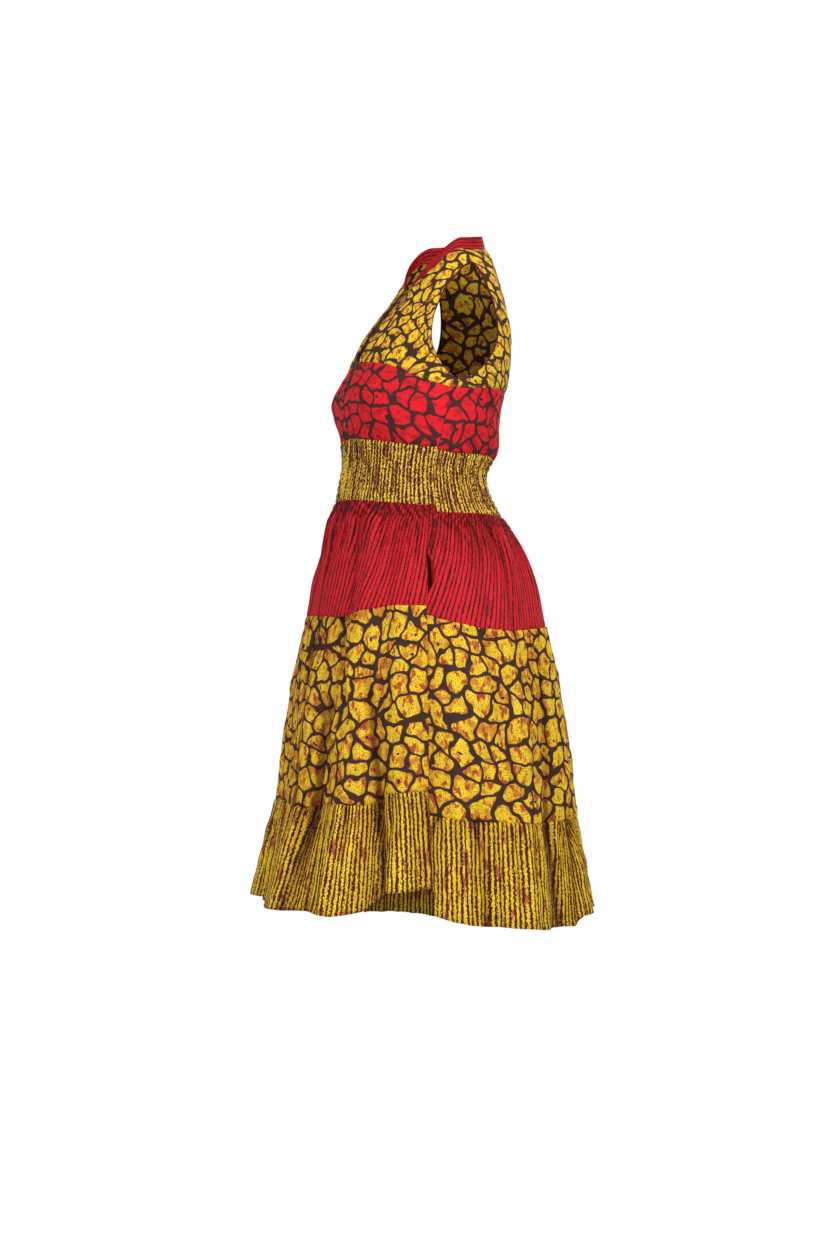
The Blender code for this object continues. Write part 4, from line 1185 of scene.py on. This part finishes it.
def front_yoke_grid(side, down_mm, columns):
    """Stations and angles of half of the front yoke: rows go from the shoulder seam to the yoke's foot."""
    ends = (0, LEFT_COLUMN) if side > 0 else (RIGHT_COLUMN, 0)
    spread = np.sort(np.abs(drawn(np.linspace(*ends, columns), YOKE_DRAW_STATION)))
    foot_angle = np.interp(spread, spread[[0, -1]], [edge_angle(YOKE_FOOT_STATION), spread[-1]])
    across = (foot_angle - foot_angle[0]) / (foot_angle[-1] - foot_angle[0])
    rows = np.linspace(0, ARMHOLE_STEPS + 1, round(FRONT_YOKE_HEIGHT / down_mm))
    neck_corner = NECK_LINE[0][1]
    corner_angle = float(edge_angle(neck_corner))
    angles = list(FRONT_NECK_ANGLES) + [corner_angle]
    inner_angle = np.interp(rows, range(NECK_STEPS + 1), angles)
    inner_station = neck_station(inner_angle)
    below = rows > NECK_STEPS
    stations = [neck_corner] + list(YOKE_EDGE_STATIONS)
    edge_rows = range(NECK_STEPS, NECK_STEPS + len(stations))
    inner_station = np.where(below, np.interp(rows, edge_rows, stations), inner_station)
    inner_angle = np.where(below, edge_angle(inner_station), inner_angle)
    outer_station, outer_angle = armhole_rows(False, np.minimum(rows, ARMHOLE_STEPS))
    station = inner_station[:, None] + (outer_station - inner_station)[:, None] * across
    angle = inner_angle[:, None] + (outer_angle - inner_angle)[:, None] * across
    last = np.clip(rows - ARMHOLE_STEPS, 0, 1)[:, None]
    station = station + (read_row(YOKE_LINE[0], side * foot_angle) - station) * last
    angle = side * (angle + (foot_angle - angle) * last)
    return (station, angle) if side > 0 else (station[:, ::-1], angle[:, ::-1])


def yoke(name, grid, scale, turn, seed, tucks=("top", "foot")):
    """A panel of the yoke; its cells lie longest along the turned direction."""
    panel = Panel(*grid, gathered=False)
    u, v = panel.across_cloth, panel.down
    out = 0.6 * waves(seed, 36, u, v) + 0.25 * waves(seed + 1, 11, u, v)
    out += panel.dips(("top", "foot"))
    return panel.finish(name, out, "yoke_pebble", "yellow_pebble", scale, (91 * seed, 0), turn, tucks=tucks)


def back_yoke_grid(down_mm, columns):
    foot_angle = drawn(np.linspace(LEFT_COLUMN, RIGHT_COLUMN + 360, columns), YOKE_DRAW_STATION)
    across = (foot_angle - foot_angle[0]) / (foot_angle[-1] - foot_angle[0])
    rows = np.linspace(0, ARMHOLE_STEPS + 2, round(BACK_YOKE_HEIGHT / down_mm))
    start_station, start_angle = armhole_rows(True, np.clip(rows - 1, 0, ARMHOLE_STEPS))
    to_shoulder = np.clip(rows, 0, 1)
    start_angle = SHOULDER_ANGLE + (start_angle - SHOULDER_ANGLE) * to_shoulder
    angle = start_angle[:, None] + (360 - 2 * start_angle)[:, None] * across
    neck = neck_station(angle)
    station = neck + (start_station[:, None] - neck) * to_shoulder[:, None]
    last = np.clip(rows - ARMHOLE_STEPS - 1, 0, 1)[:, None]
    station = station + (read_row(YOKE_LINE[1], foot_angle) - station) * last
    angle = angle + (foot_angle - angle) * last
    return station, angle


left_bust = bust_half(1, 3.0, 3.0)
right_bust = bust_half(-1, 3.0, 3.0)
behind_bust = band_grid(YOKE_LINE, WAIST_TOP_LINE, True, 3.2, 3.2)
panels["front_bust_left"] = bust("front_bust_left", left_bust, ("top", "foot", "last"), 7)
panels["front_bust_right"] = bust("front_bust_right", right_bust, ("top", "foot", "first"), 8)
panels["back_bust"] = bust("back_bust", behind_bust, ALL_EDGES, 10)
panels["front_yoke_left"] = yoke("front_yoke_left", front_yoke_grid(1, 2.6, 64), (1.25, 2.1), -48, 5)
panels["front_yoke_right"] = yoke("front_yoke_right", front_yoke_grid(-1, 2.6, 64), (1.25, 2.1), 48, 6)
panels["back_yoke"] = yoke("back_yoke", back_yoke_grid(3.2, 130), (1.35, 1.7), 20, 9, ("foot",))

# Trims: the collar, bindings, pockets, zip and stitching


def rounded_section(width, depth, steps=12):
    """A rounded flat section, centred, in mm."""
    turns = np.linspace(0, 2 * np.pi, steps, endpoint=False)
    wide, deep = np.cos(turns), np.sin(turns)
    squared = [np.sign(c) * np.abs(c) ** 0.6 for c in (wide, deep)]
    return np.stack([squared[0] * width / 2, squared[1] * depth / 2], axis=-1)


COLLAR_THICK = 2.0
COLLAR_RISE = 0.5
COLLAR_FOOT = -3.2
COLLAR_ROUND = 5
COLLAR_RIDGE = 4.6
COLLAR_PUFF = 0.35
COLLAR_UNEVEN = 0.35
COLLAR_MIDDLE = 16
COLLAR_STRIPE = 12.0
COLLAR_COLUMNS = 260
COLLAR_LEVELS = 12


def collar():
    """The stand collar: a doubled band with a soft rolled top, whose stripes run along it."""
    corner = float(edge_angle(NECK_LINE[0][1]))
    angle = np.linspace(corner, 360 - corner, COLLAR_COLUMNS)
    base = surface(neck_station(angle), angle)
    from_front = np.minimum(angle, 360 - angle)
    height = read_row(COLLAR_HEIGHT, from_front)
    turn = np.radians(angle)
    outward = np.stack([np.sin(turn), -np.cos(turn), np.zeros(len(turn))], axis=-1)
    lean = math.radians(COLLAR_LEAN)
    upright = np.array([0, 0, math.cos(lean)]) - outward * math.sin(lean)
    facing = outward * math.cos(lean) + np.array([0, 0, math.sin(lean)])
    rise = np.linspace(0, 1, COLLAR_LEVELS)
    flat = np.zeros(COLLAR_LEVELS)
    half = COLLAR_THICK / 2
    turns = np.linspace(0, np.pi, COLLAR_ROUND + 2)[1:-1]
    level = np.concatenate([rise, np.ones(COLLAR_ROUND), rise[::-1]])
    over = np.concatenate([flat, half * np.sin(turns) - half, flat])
    depth = np.concatenate([flat + half, half * np.cos(turns), flat - half])
    side = COLLAR_FOOT + level * (height[:, None] + COLLAR_RISE - COLLAR_FOOT) + over
    puff = COLLAR_PUFF * np.abs(np.sin(np.pi * side / COLLAR_RIDGE))
    along = path_lengths(base)
    uneven = COLLAR_UNEVEN * waves(61, 18, along[:, None] + 0 * side, side)
    normal = depth - half + np.sign(depth) * puff + uneven
    section = np.stack([side, normal], axis=-1)
    across = np.concatenate([[0], np.cumsum(np.hypot(np.diff(level) * COLLAR_MIDDLE, np.diff(depth)))])
    stripes = across[None] * COLLAR_STRIPE / COLLAR_RIDGE
    uv = np.stack(np.broadcast_arrays(stripes, along[:, None]), axis=-1)
    # Painted shade over the whole collar, darker in the grooves between its ridges
    groove_painted_shade = 0.5 + 0.5 * (1 - np.abs(np.sin(np.pi * side / COLLAR_RIDGE))) ** 1.5
    made = sweep(
        "collar_cloth", base, upright, facing, section, uv, "red_stripe", shade=groove_painted_shade
    )
    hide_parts("collar")
    return made


BINDING_WIDTH = 3.4
BINDING_DEPTH = 2.3
BINDING_INSET = 0.9
BINDING_STEP = 0.9


def binding(name, edge, inward, normal, finish, closed):
    """A narrow strip folded over an edge of the cloth."""
    count = len(edge)
    if closed:
        inward, normal = (0.5 * (a + np.roll(a, -1, axis=0)) for a in (inward, normal))
        edge = 0.5 * (edge + np.roll(edge, -1, axis=0))
    centre = edge + BINDING_INSET * inward - 0.5 * CLOTH_WALL * normal
    section = np.repeat(rounded_section(BINDING_WIDTH, BINDING_DEPTH)[None], count, axis=0)
    around = np.arange(section.shape[1]) * BINDING_STEP
    uv = np.stack(np.broadcast_arrays(around[None], path_lengths(centre)[:, None]), axis=-1)
    return sweep(name, centre, inward, normal, section, uv, finish, closed)


def edge_of(panel, rows, column):
    """Points, inward directions and normals down a side of a panel."""
    inner = column + (1 if column == 0 else -1)
    points = panel.points[rows, column]
    inward = unit(panel.points[rows, inner] - points)
    normal = panel.normal[rows, column]
    inward = unit(inward - np.sum(inward * normal, axis=-1, keepdims=True) * normal)
    return points, inward, normal


def armhole_binding(name, front, front_column, back_column):
    behind = panels["back_yoke"]
    front_rows = np.arange(round(7 / 8 * (len(front.points) - 1)), -1, -1)
    back_last = len(behind.points) - 1
    back_rows = np.arange(round(back_last / 9) + 1, round(8 / 9 * back_last) + 1)
    halves = (edge_of(front, front_rows, front_column), edge_of(behind, back_rows, back_column))
    edge, inward, normal = (np.concatenate(pair) for pair in zip(*halves))
    return binding(name, edge, inward, normal, "binding", closed=True)


def neck_binding(name, front, column):
    """The narrow faced edge down one side of the front opening."""
    last = len(front.points) - 1
    rows = np.arange(round(last / 2) + 1, last + 1)
    return binding(name, *edge_of(front, rows, column), "binding", closed=False)


collar_piece = collar()
bindings = {
    "left": armhole_binding("armhole_binding_left", panels["front_yoke_left"], -1, 0),
    "right": armhole_binding("armhole_binding_right", panels["front_yoke_right"], 0, -1),
    "opening_left": neck_binding("opening_edge_left", panels["front_yoke_left"], 0),
    "opening_right": neck_binding("opening_edge_right", panels["front_yoke_right"], -1),
}

POCKET_SECTIONS = (
    # along the bag, middle station, half height in stations, bag depth
    (0.0, 12.06, 0.56, 0.0),
    (0.18, 12.14, 0.68, 17.0),
    (0.45, 12.26, 0.86, 25.0),
    (0.75, 12.42, 0.95, 22.0),
    (1.0, 12.5, 0.72, 9.0),
)
POCKET_REACH = 27.0
POCKET_LAP = 1.3
POCKET_FRONT_LAP = 0.9
POCKET_DEPTH = 3.8
POCKET_SIDES = 40
POCKET_ROWS = 30
POCKET_CLOSING = (0.75, 0.45, 0.15)
BAG_WALL = 0.8
# The bag's cloth: mm in a degree and in a station
BAG_DEGREE = 3.7
BAG_STATION = 70


def pocket(name, side, mouth):
    """A pocket bag: an open cup behind the mouth in the side seam, soft and a little crumpled."""
    turns = np.linspace(0, 2 * np.pi, POCKET_SIDES, endpoint=False)
    bag = np.linspace(0, 1, POCKET_ROWS)[:, None]
    table = np.array(POCKET_SECTIONS)
    middle, half, depth = (np.interp(bag, table[:, 0], table[:, k]) for k in (1, 2, 3))
    station = middle + half * np.cos(turns)
    outside = 0.5 + 0.5 * np.sin(turns)
    seam = read_row(LEFT_SEAM, middle) if side > 0 else -read_row(RIGHT_SEAM, middle)
    spread = to_degrees(mouth, middle)
    front_sheet = seam - POCKET_FRONT_LAP - (POCKET_REACH - POCKET_FRONT_LAP) * bag
    back_sheet = seam + spread + POCKET_LAP - (POCKET_REACH + spread + POCKET_LAP) * bag
    angle = side * (back_sheet + (front_sheet - back_sheet) * outside)
    crumple = np.clip(bag * 4, 0, 1) * (1.0 + waves(71 + side, 22, 90 * bag + 0 * station, 60 * station))
    inward = POCKET_DEPTH + depth * (1 - outside) + crumple
    ring = surface(station, angle) - inward[..., None] * surface_normal(station, angle)
    centre = ring[-1].mean(axis=0)
    closing = [centre + (ring[-1] - centre) * share for share in POCKET_CLOSING]
    outer = np.concatenate([ring, closing])
    along = np.roll(outer, -1, axis=1) - np.roll(outer, 1, axis=1)
    normal = unit(np.cross(np.gradient(outer, axis=0), along))
    middle_line = outer.mean(axis=1, keepdims=True)
    if np.sum(normal * (outer - middle_line)) < 0:
        normal = -normal
    inner = outer - BAG_WALL * normal
    rows, count = len(outer), outer.shape[0] * POCKET_SIDES
    faces = grid_faces(rows, POCKET_SIDES, closed=True) + grid_faces(rows, POCKET_SIDES, count, True, True)
    k = np.arange(POCKET_SIDES)
    n = (k + 1) % POCKET_SIDES
    faces += np.stack([k, n, n + count, k + count], axis=-1).tolist()
    last = (rows - 1) * POCKET_SIDES
    faces += [(last + k).tolist(), (last + k + count).tolist()]
    points = np.concatenate([outer.reshape(-1, 3), inner.reshape(-1, 3)])
    ends = len(POCKET_CLOSING)
    down_it = np.concatenate([station, np.repeat(station[-1:], ends, axis=0)])
    round_it = np.concatenate([angle, np.repeat(angle[-1:], ends, axis=0)])
    uv = np.stack([round_it * BAG_DEGREE, down_it * BAG_STATION], axis=-1)
    uv = np.tile(uv.reshape(-1, 2), (2, 1))
    made = new_mesh(name + "_bag", points, faces, uv, "red_stripe")
    face_outwards(made)
    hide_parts(name)
    return made


pockets = {"pocket_left": pocket("pocket_left", 1, POCKET_MOUTH)}
pockets["pocket_right"] = pocket("pocket_right", -1, RIGHT_POCKET_MOUTH)

# Zip: its tapes, teeth, slider and pull
ZIP_TOP = 4.55
CHAIN_TOP = 5.01
ZIP_FOOT = 8.02
CHAIN_POINTS = 300
METAL_SHARP = 35
TAPE_WIDTH = 14.0
TAPE_DEPTH = CLOTH_WALL + 0.4
TAPE_WALL = 0.7
TAPE_START = 0.3
TAPE_ROWS = 60
TAPE_COLUMNS = 8
TOOTH_PITCH = 2.3
TOOTH_OUTLINE = ((-0.45, -0.5), (1.5, -0.5), (2.6, -0.3), (2.6, 0.3), (1.5, 0.5), (-0.45, 0.5))
TOOTH_LEVELS = ((-1.5, 1.0), (0.1, 1.0), (0.45, 0.8))
SLIDER_STATION = 4.8
SLIDER_OUTLINE = (
    # across, up the dress
    (4.3, 3.2), (3.6, 5.0), (2.0, 5.5), (-2.0, 5.5), (-3.6, 5.0), (-4.3, 3.2),
    (-3.5, -3.5), (-2.9, -5.1), (-1.8, -5.5), (1.8, -5.5), (2.9, -5.1), (3.5, -3.5),
)
SLIDER_LEVELS = (
    # out of the cloth, how far the outline is drawn in
    (-1.9, 0.4), (-1.5, 0.0), (-0.7, 0.0), (-0.5, 0.8), (1.3, 0.8), (1.5, 0.0), (2.3, 0.0), (2.7, 0.4),
)
BRIDGE_OUTLINE = (
    # up the dress, out of the cloth
    (-0.6, 2.2), (0.5, 2.2), (0.5, 4.5), (0.8, 4.7), (3.2, 4.7), (3.5, 4.5), (3.5, 2.2), (4.6, 2.2),
    (4.6, 4.6), (4.2, 5.3), (3.5, 5.5), (0.5, 5.5), (-0.2, 5.3), (-0.6, 4.6),
)
BRIDGE_LEVELS = ((-1.1, 0.25), (-0.85, 0.0), (0.85, 0.0), (1.1, 0.25))
PULL_HEIGHT = 3.75
PULL_LEVELS = ((-0.7, 0.3), (-0.45, 0.0), (0.45, 0.0), (0.7, 0.3))
HINGE_UP = 2.0
PULL_BAR_RADIUS = 0.6
BAR_LEVELS = ((-2.05, 0.1), (-1.95, 0.0), (1.95, 0.0), (2.05, 0.1))
# One side of the pull tab from its slot to its round end, then that end's radius and centre
PULL_SIDE = ((1.45, -2.2), (1.45, 2.6), (3.3, 2.6), (3.3, -3.7), (2.4, -9.3), (3.1, -14.5))
PULL_END = (3.3, -21.7)
PULL_END_POINTS = 11
# Orders of a metal solid's sizes: lying on the cloth, and standing across it
FLAT = [0, 1, 2]
SIDEWAYS = [2, 0, 1]


def centre_strip(side, station, distance):
    """Points and normals beside the centre front at distances from it."""
    angle = side * np.degrees(np.arcsin(distance / half_width(station)))
    return surface(station, angle), surface_normal(station, angle)


def zip_tape(name, side):
    station = np.linspace(ZIP_TOP, ZIP_FOOT, TAPE_ROWS)
    distance = np.linspace(TAPE_START, TAPE_WIDTH, TAPE_COLUMNS)
    station, distance = np.meshgrid(station, distance, indexing="ij")
    if side < 0:
        distance = distance[:, ::-1]
    points, normal = centre_strip(side, station, distance)
    outer = points - TAPE_DEPTH * normal
    uv = np.stack([distance, lengths(outer, 0)], axis=-1)
    made = shell(name + "_weave", outer, uv, "zip_tape", TAPE_WALL)
    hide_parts(name)
    return made


def drawn_in(outline, amount):
    """An outline moved inwards, by its corners' own directions."""
    points = np.array(outline, float)
    ahead = np.roll(points, -1, axis=0) - points
    behind = points - np.roll(points, 1, axis=0)
    sides = [unit(np.stack([-edge[:, 1], edge[:, 0]], axis=-1)) for edge in (ahead, behind)]
    left = unit(sides[0] + sides[1])
    area = np.sum(points[:, 0] * np.roll(points[:, 1], -1) - points[:, 1] * np.roll(points[:, 0], -1))
    return points + amount * np.sign(area) * left


def stack_faces(levels, sides, start=0):
    """Faces of a closed solid from rings of points."""
    last = start + (levels - 1) * sides
    ends = [list(range(start, start + sides)), list(range(last, last + sides))]
    return grid_faces(levels, sides, start, closed=True) + ends


def zip_teeth():
    """Two rows of metal teeth that mesh down the centre front."""
    station = np.linspace(CHAIN_TOP, ZIP_FOOT, CHAIN_POINTS)
    middle, normal = surface(station, 0.0), surface_normal(station, np.zeros(CHAIN_POINTS))
    total = path_lengths(middle)[-1]
    across = np.array([1.0, 0.0, 0.0])
    points, faces = [], []
    for side, offset in ((1, 0.25), (-1, 0.75)):
        for place in np.arange(offset, total / TOOTH_PITCH - 0.5) * TOOTH_PITCH:
            here = along_path(middle, np.array([place]))[0]
            out = unit(along_path(middle + normal, np.array([place]))[0] - here)
            down = unit(np.cross(across, out))
            faces += stack_faces(len(TOOTH_LEVELS), len(TOOTH_OUTLINE), len(points))
            for height, size in TOOTH_LEVELS:
                for x, y in TOOTH_OUTLINE:
                    points.append(here + side * x * size * across + y * size * down + height * out)
    none = np.zeros((len(points), 2))
    made = new_mesh("zip_teeth", points, faces, none, "zip_metal", sharp=METAL_SHARP)
    face_outwards(made)
    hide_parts("zip_chain")


def slider_frame():
    """Origin and axes at the slider: across, up the front of the dress, out of the cloth."""
    origin = surface(SLIDER_STATION, 0.0)
    out = surface_normal(np.array(SLIDER_STATION), np.array(0.0))
    across = np.array([1.0, 0.0, 0.0])
    return origin, across, np.cross(out, across), out


def metal_solid(outline, levels, order):
    """Points and faces of an outline at levels; order says which axis each of its sizes is."""
    rings = []
    for height, amount in levels:
        ring = drawn_in(outline, amount)
        rings.append(np.column_stack([ring, np.full(len(ring), height)])[:, order])
    return np.concatenate(rings), stack_faces(len(levels), len(outline))


def metal_piece(name, solids, body):
    """Joins solids given in the slider's frame."""
    origin, across, up, out = slider_frame()
    points, faces = [], []
    for local, own_faces in solids:
        start = sum(len(p) for p in points)
        faces += [[start + k for k in face] for face in own_faces]
        points.append(origin + local[:, :1] * across + local[:, 1:2] * up + local[:, 2:] * out)
    points = np.concatenate(points)
    none = np.zeros((len(points), 2))
    made = new_mesh(
        name + "_metal", points, faces, none, "zip_dark", sharp=METAL_SHARP, body=body
    )
    face_outwards(made)
    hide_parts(name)


def pull_outline():
    """The pull tab: two arms beside the bridge, a neck and a rounded end."""
    radius, centre = PULL_END
    turns = np.linspace(0, math.pi, PULL_END_POINTS)
    end = [(radius * math.cos(t), centre - radius * math.sin(t)) for t in turns]
    return [*PULL_SIDE, *end, *((-x, y) for x, y in reversed(PULL_SIDE))]


def zip_pull():
    levels = [(PULL_HEIGHT + height, amount) for height, amount in PULL_LEVELS]
    plate = metal_solid(pull_outline(), levels, FLAT)
    turns = np.linspace(0, 2 * np.pi, 16, endpoint=False)
    hinge = np.array([HINGE_UP, PULL_HEIGHT])
    ring = hinge + PULL_BAR_RADIUS * np.column_stack([np.cos(turns), np.sin(turns)])
    bar = metal_solid(ring, BAR_LEVELS, SIDEWAYS)
    metal_piece("zip_pull", (plate, bar), "zip_pull")


tapes = [zip_tape("zip_tape_left", 1), zip_tape("zip_tape_right", -1)]
zip_teeth()
slider_body = metal_solid(SLIDER_OUTLINE, SLIDER_LEVELS, FLAT)
slider_bridge = metal_solid(BRIDGE_OUTLINE, BRIDGE_LEVELS, SIDEWAYS)
metal_piece("zip_slider", (slider_body, slider_bridge), "root")
zip_pull()

# Stitching: rows and columns of a panel's grid that stitches follow
HEM_ROW = -4
YOKE_ROW = -3
ZIP_COLUMNS = (1, -2)
MOUTH_COLUMNS = (3, -4)
MOUTH_SHARES = (0.32, 0.82)


def row_line(panel, row):
    return panel.points[row], panel.normal[row]


def column_line(panel, column, first=0, last=None):
    return panel.points[first:last, column], panel.normal[first:last, column]


hem_lines = [row_line(panels[name], HEM_ROW) for name in ("flounce_front", "flounce_back")]
hem_stitching = stitches("hem_stitching", hem_lines, "thread_gold")
yoke_names = ("front_yoke_left", "front_yoke_right", "back_yoke")
yoke_lines = [row_line(panels[name], YOKE_ROW) for name in yoke_names]
yoke_stitching = stitches("yoke_stitching", yoke_lines, "thread_gold")
zip_sides = zip(("front_bust_left", "front_bust_right"), ZIP_COLUMNS)
zip_lines = [column_line(panels[name], column) for name, column in zip_sides]
zip_stitching = stitches("zip_stitching", zip_lines, "thread_dark")
upper_front = panels["skirt_upper_front"]
mouth_rows = [round(share * len(upper_front.points)) for share in MOUTH_SHARES]
mouth_lines = [column_line(upper_front, column, *mouth_rows) for column in MOUTH_COLUMNS]
pocket_stitching = stitches("pocket_stitching", mouth_lines, "thread_dark")

# The cloth pieces, by name
cloth_pieces = {name: panel.obj for name, panel in panels.items()}
cloth_pieces.update(pockets, collar=collar_piece, zip_tape_left=tapes[0], zip_tape_right=tapes[1])


# Light and camera

RENDER_HEIGHT = 1248
FOCAL_PIXELS = 2424.24
SENSOR = 36.0
VIEW_AZIMUTH = 68.0
VIEW_DISTANCE = 4.0
AIM = (-0.0179, -0.0444, -0.5871)
SEEN_WHITE = 0.983
ROOM_LIGHT = 0.40
LIGHTS = (
    # name, place, power in W, size in m
    ("key", (3.4, 1.0, 1.5), 105, 1.2),
    ("fill", (1.7, -3.5, 0.2), 78, 2.5),
    ("rim", (-2.5, 2.6, 1.4), 25, 2.0),
)


def world():
    made = bpy.data.worlds.new("studio")
    bpy.context.scene.world = made
    made.use_nodes = True
    nodes, links = made.node_tree.nodes, made.node_tree.links
    seen = nodes["Background"]
    seen.inputs[0].default_value = (1, 1, 1, 1)
    seen.inputs[1].default_value = SEEN_WHITE
    lit = nodes.new("ShaderNodeBackground")
    lit.inputs[0].default_value = (1, 1, 1, 1)
    lit.inputs[1].default_value = ROOM_LIGHT
    path = nodes.new("ShaderNodeLightPath")
    mixed = nodes.new("ShaderNodeMixShader")
    links.new(path.outputs["Is Camera Ray"], mixed.inputs[0])
    links.new(lit.outputs[0], mixed.inputs[1])
    links.new(seen.outputs[0], mixed.inputs[2])
    links.new(mixed.outputs[0], nodes["World Output"].inputs[0])


def area_light(name, place, power, size):
    light = bpy.data.lights.new(name, "AREA")
    light.energy = power
    light.size = size
    obj = bpy.data.objects.new(name, light)
    obj.location = place
    toward = Vector(AIM) - Vector(place)
    obj.rotation_mode = "QUATERNION"
    obj.rotation_quaternion = toward.to_track_quat("-Z", "Y")
    bpy.context.scene.collection.objects.link(obj)


def camera():
    turn = math.radians(VIEW_AZIMUTH)
    back = Vector((math.sin(turn), -math.cos(turn), 0))
    data = bpy.data.cameras.new("camera")
    data.sensor_width = SENSOR
    data.lens = FOCAL_PIXELS * SENSOR / RENDER_HEIGHT
    obj = bpy.data.objects.new("camera", data)
    obj.location = Vector(AIM) + VIEW_DISTANCE * back
    obj.rotation_mode = "QUATERNION"
    obj.rotation_quaternion = (-back).to_track_quat("-Z", "Y")
    bpy.context.scene.collection.objects.link(obj)
    bpy.context.scene.camera = obj


world()
for name, place, power, size in LIGHTS:
    area_light(name, place, power, size)
camera()
bpy.context.scene.view_settings.view_transform = "Standard"
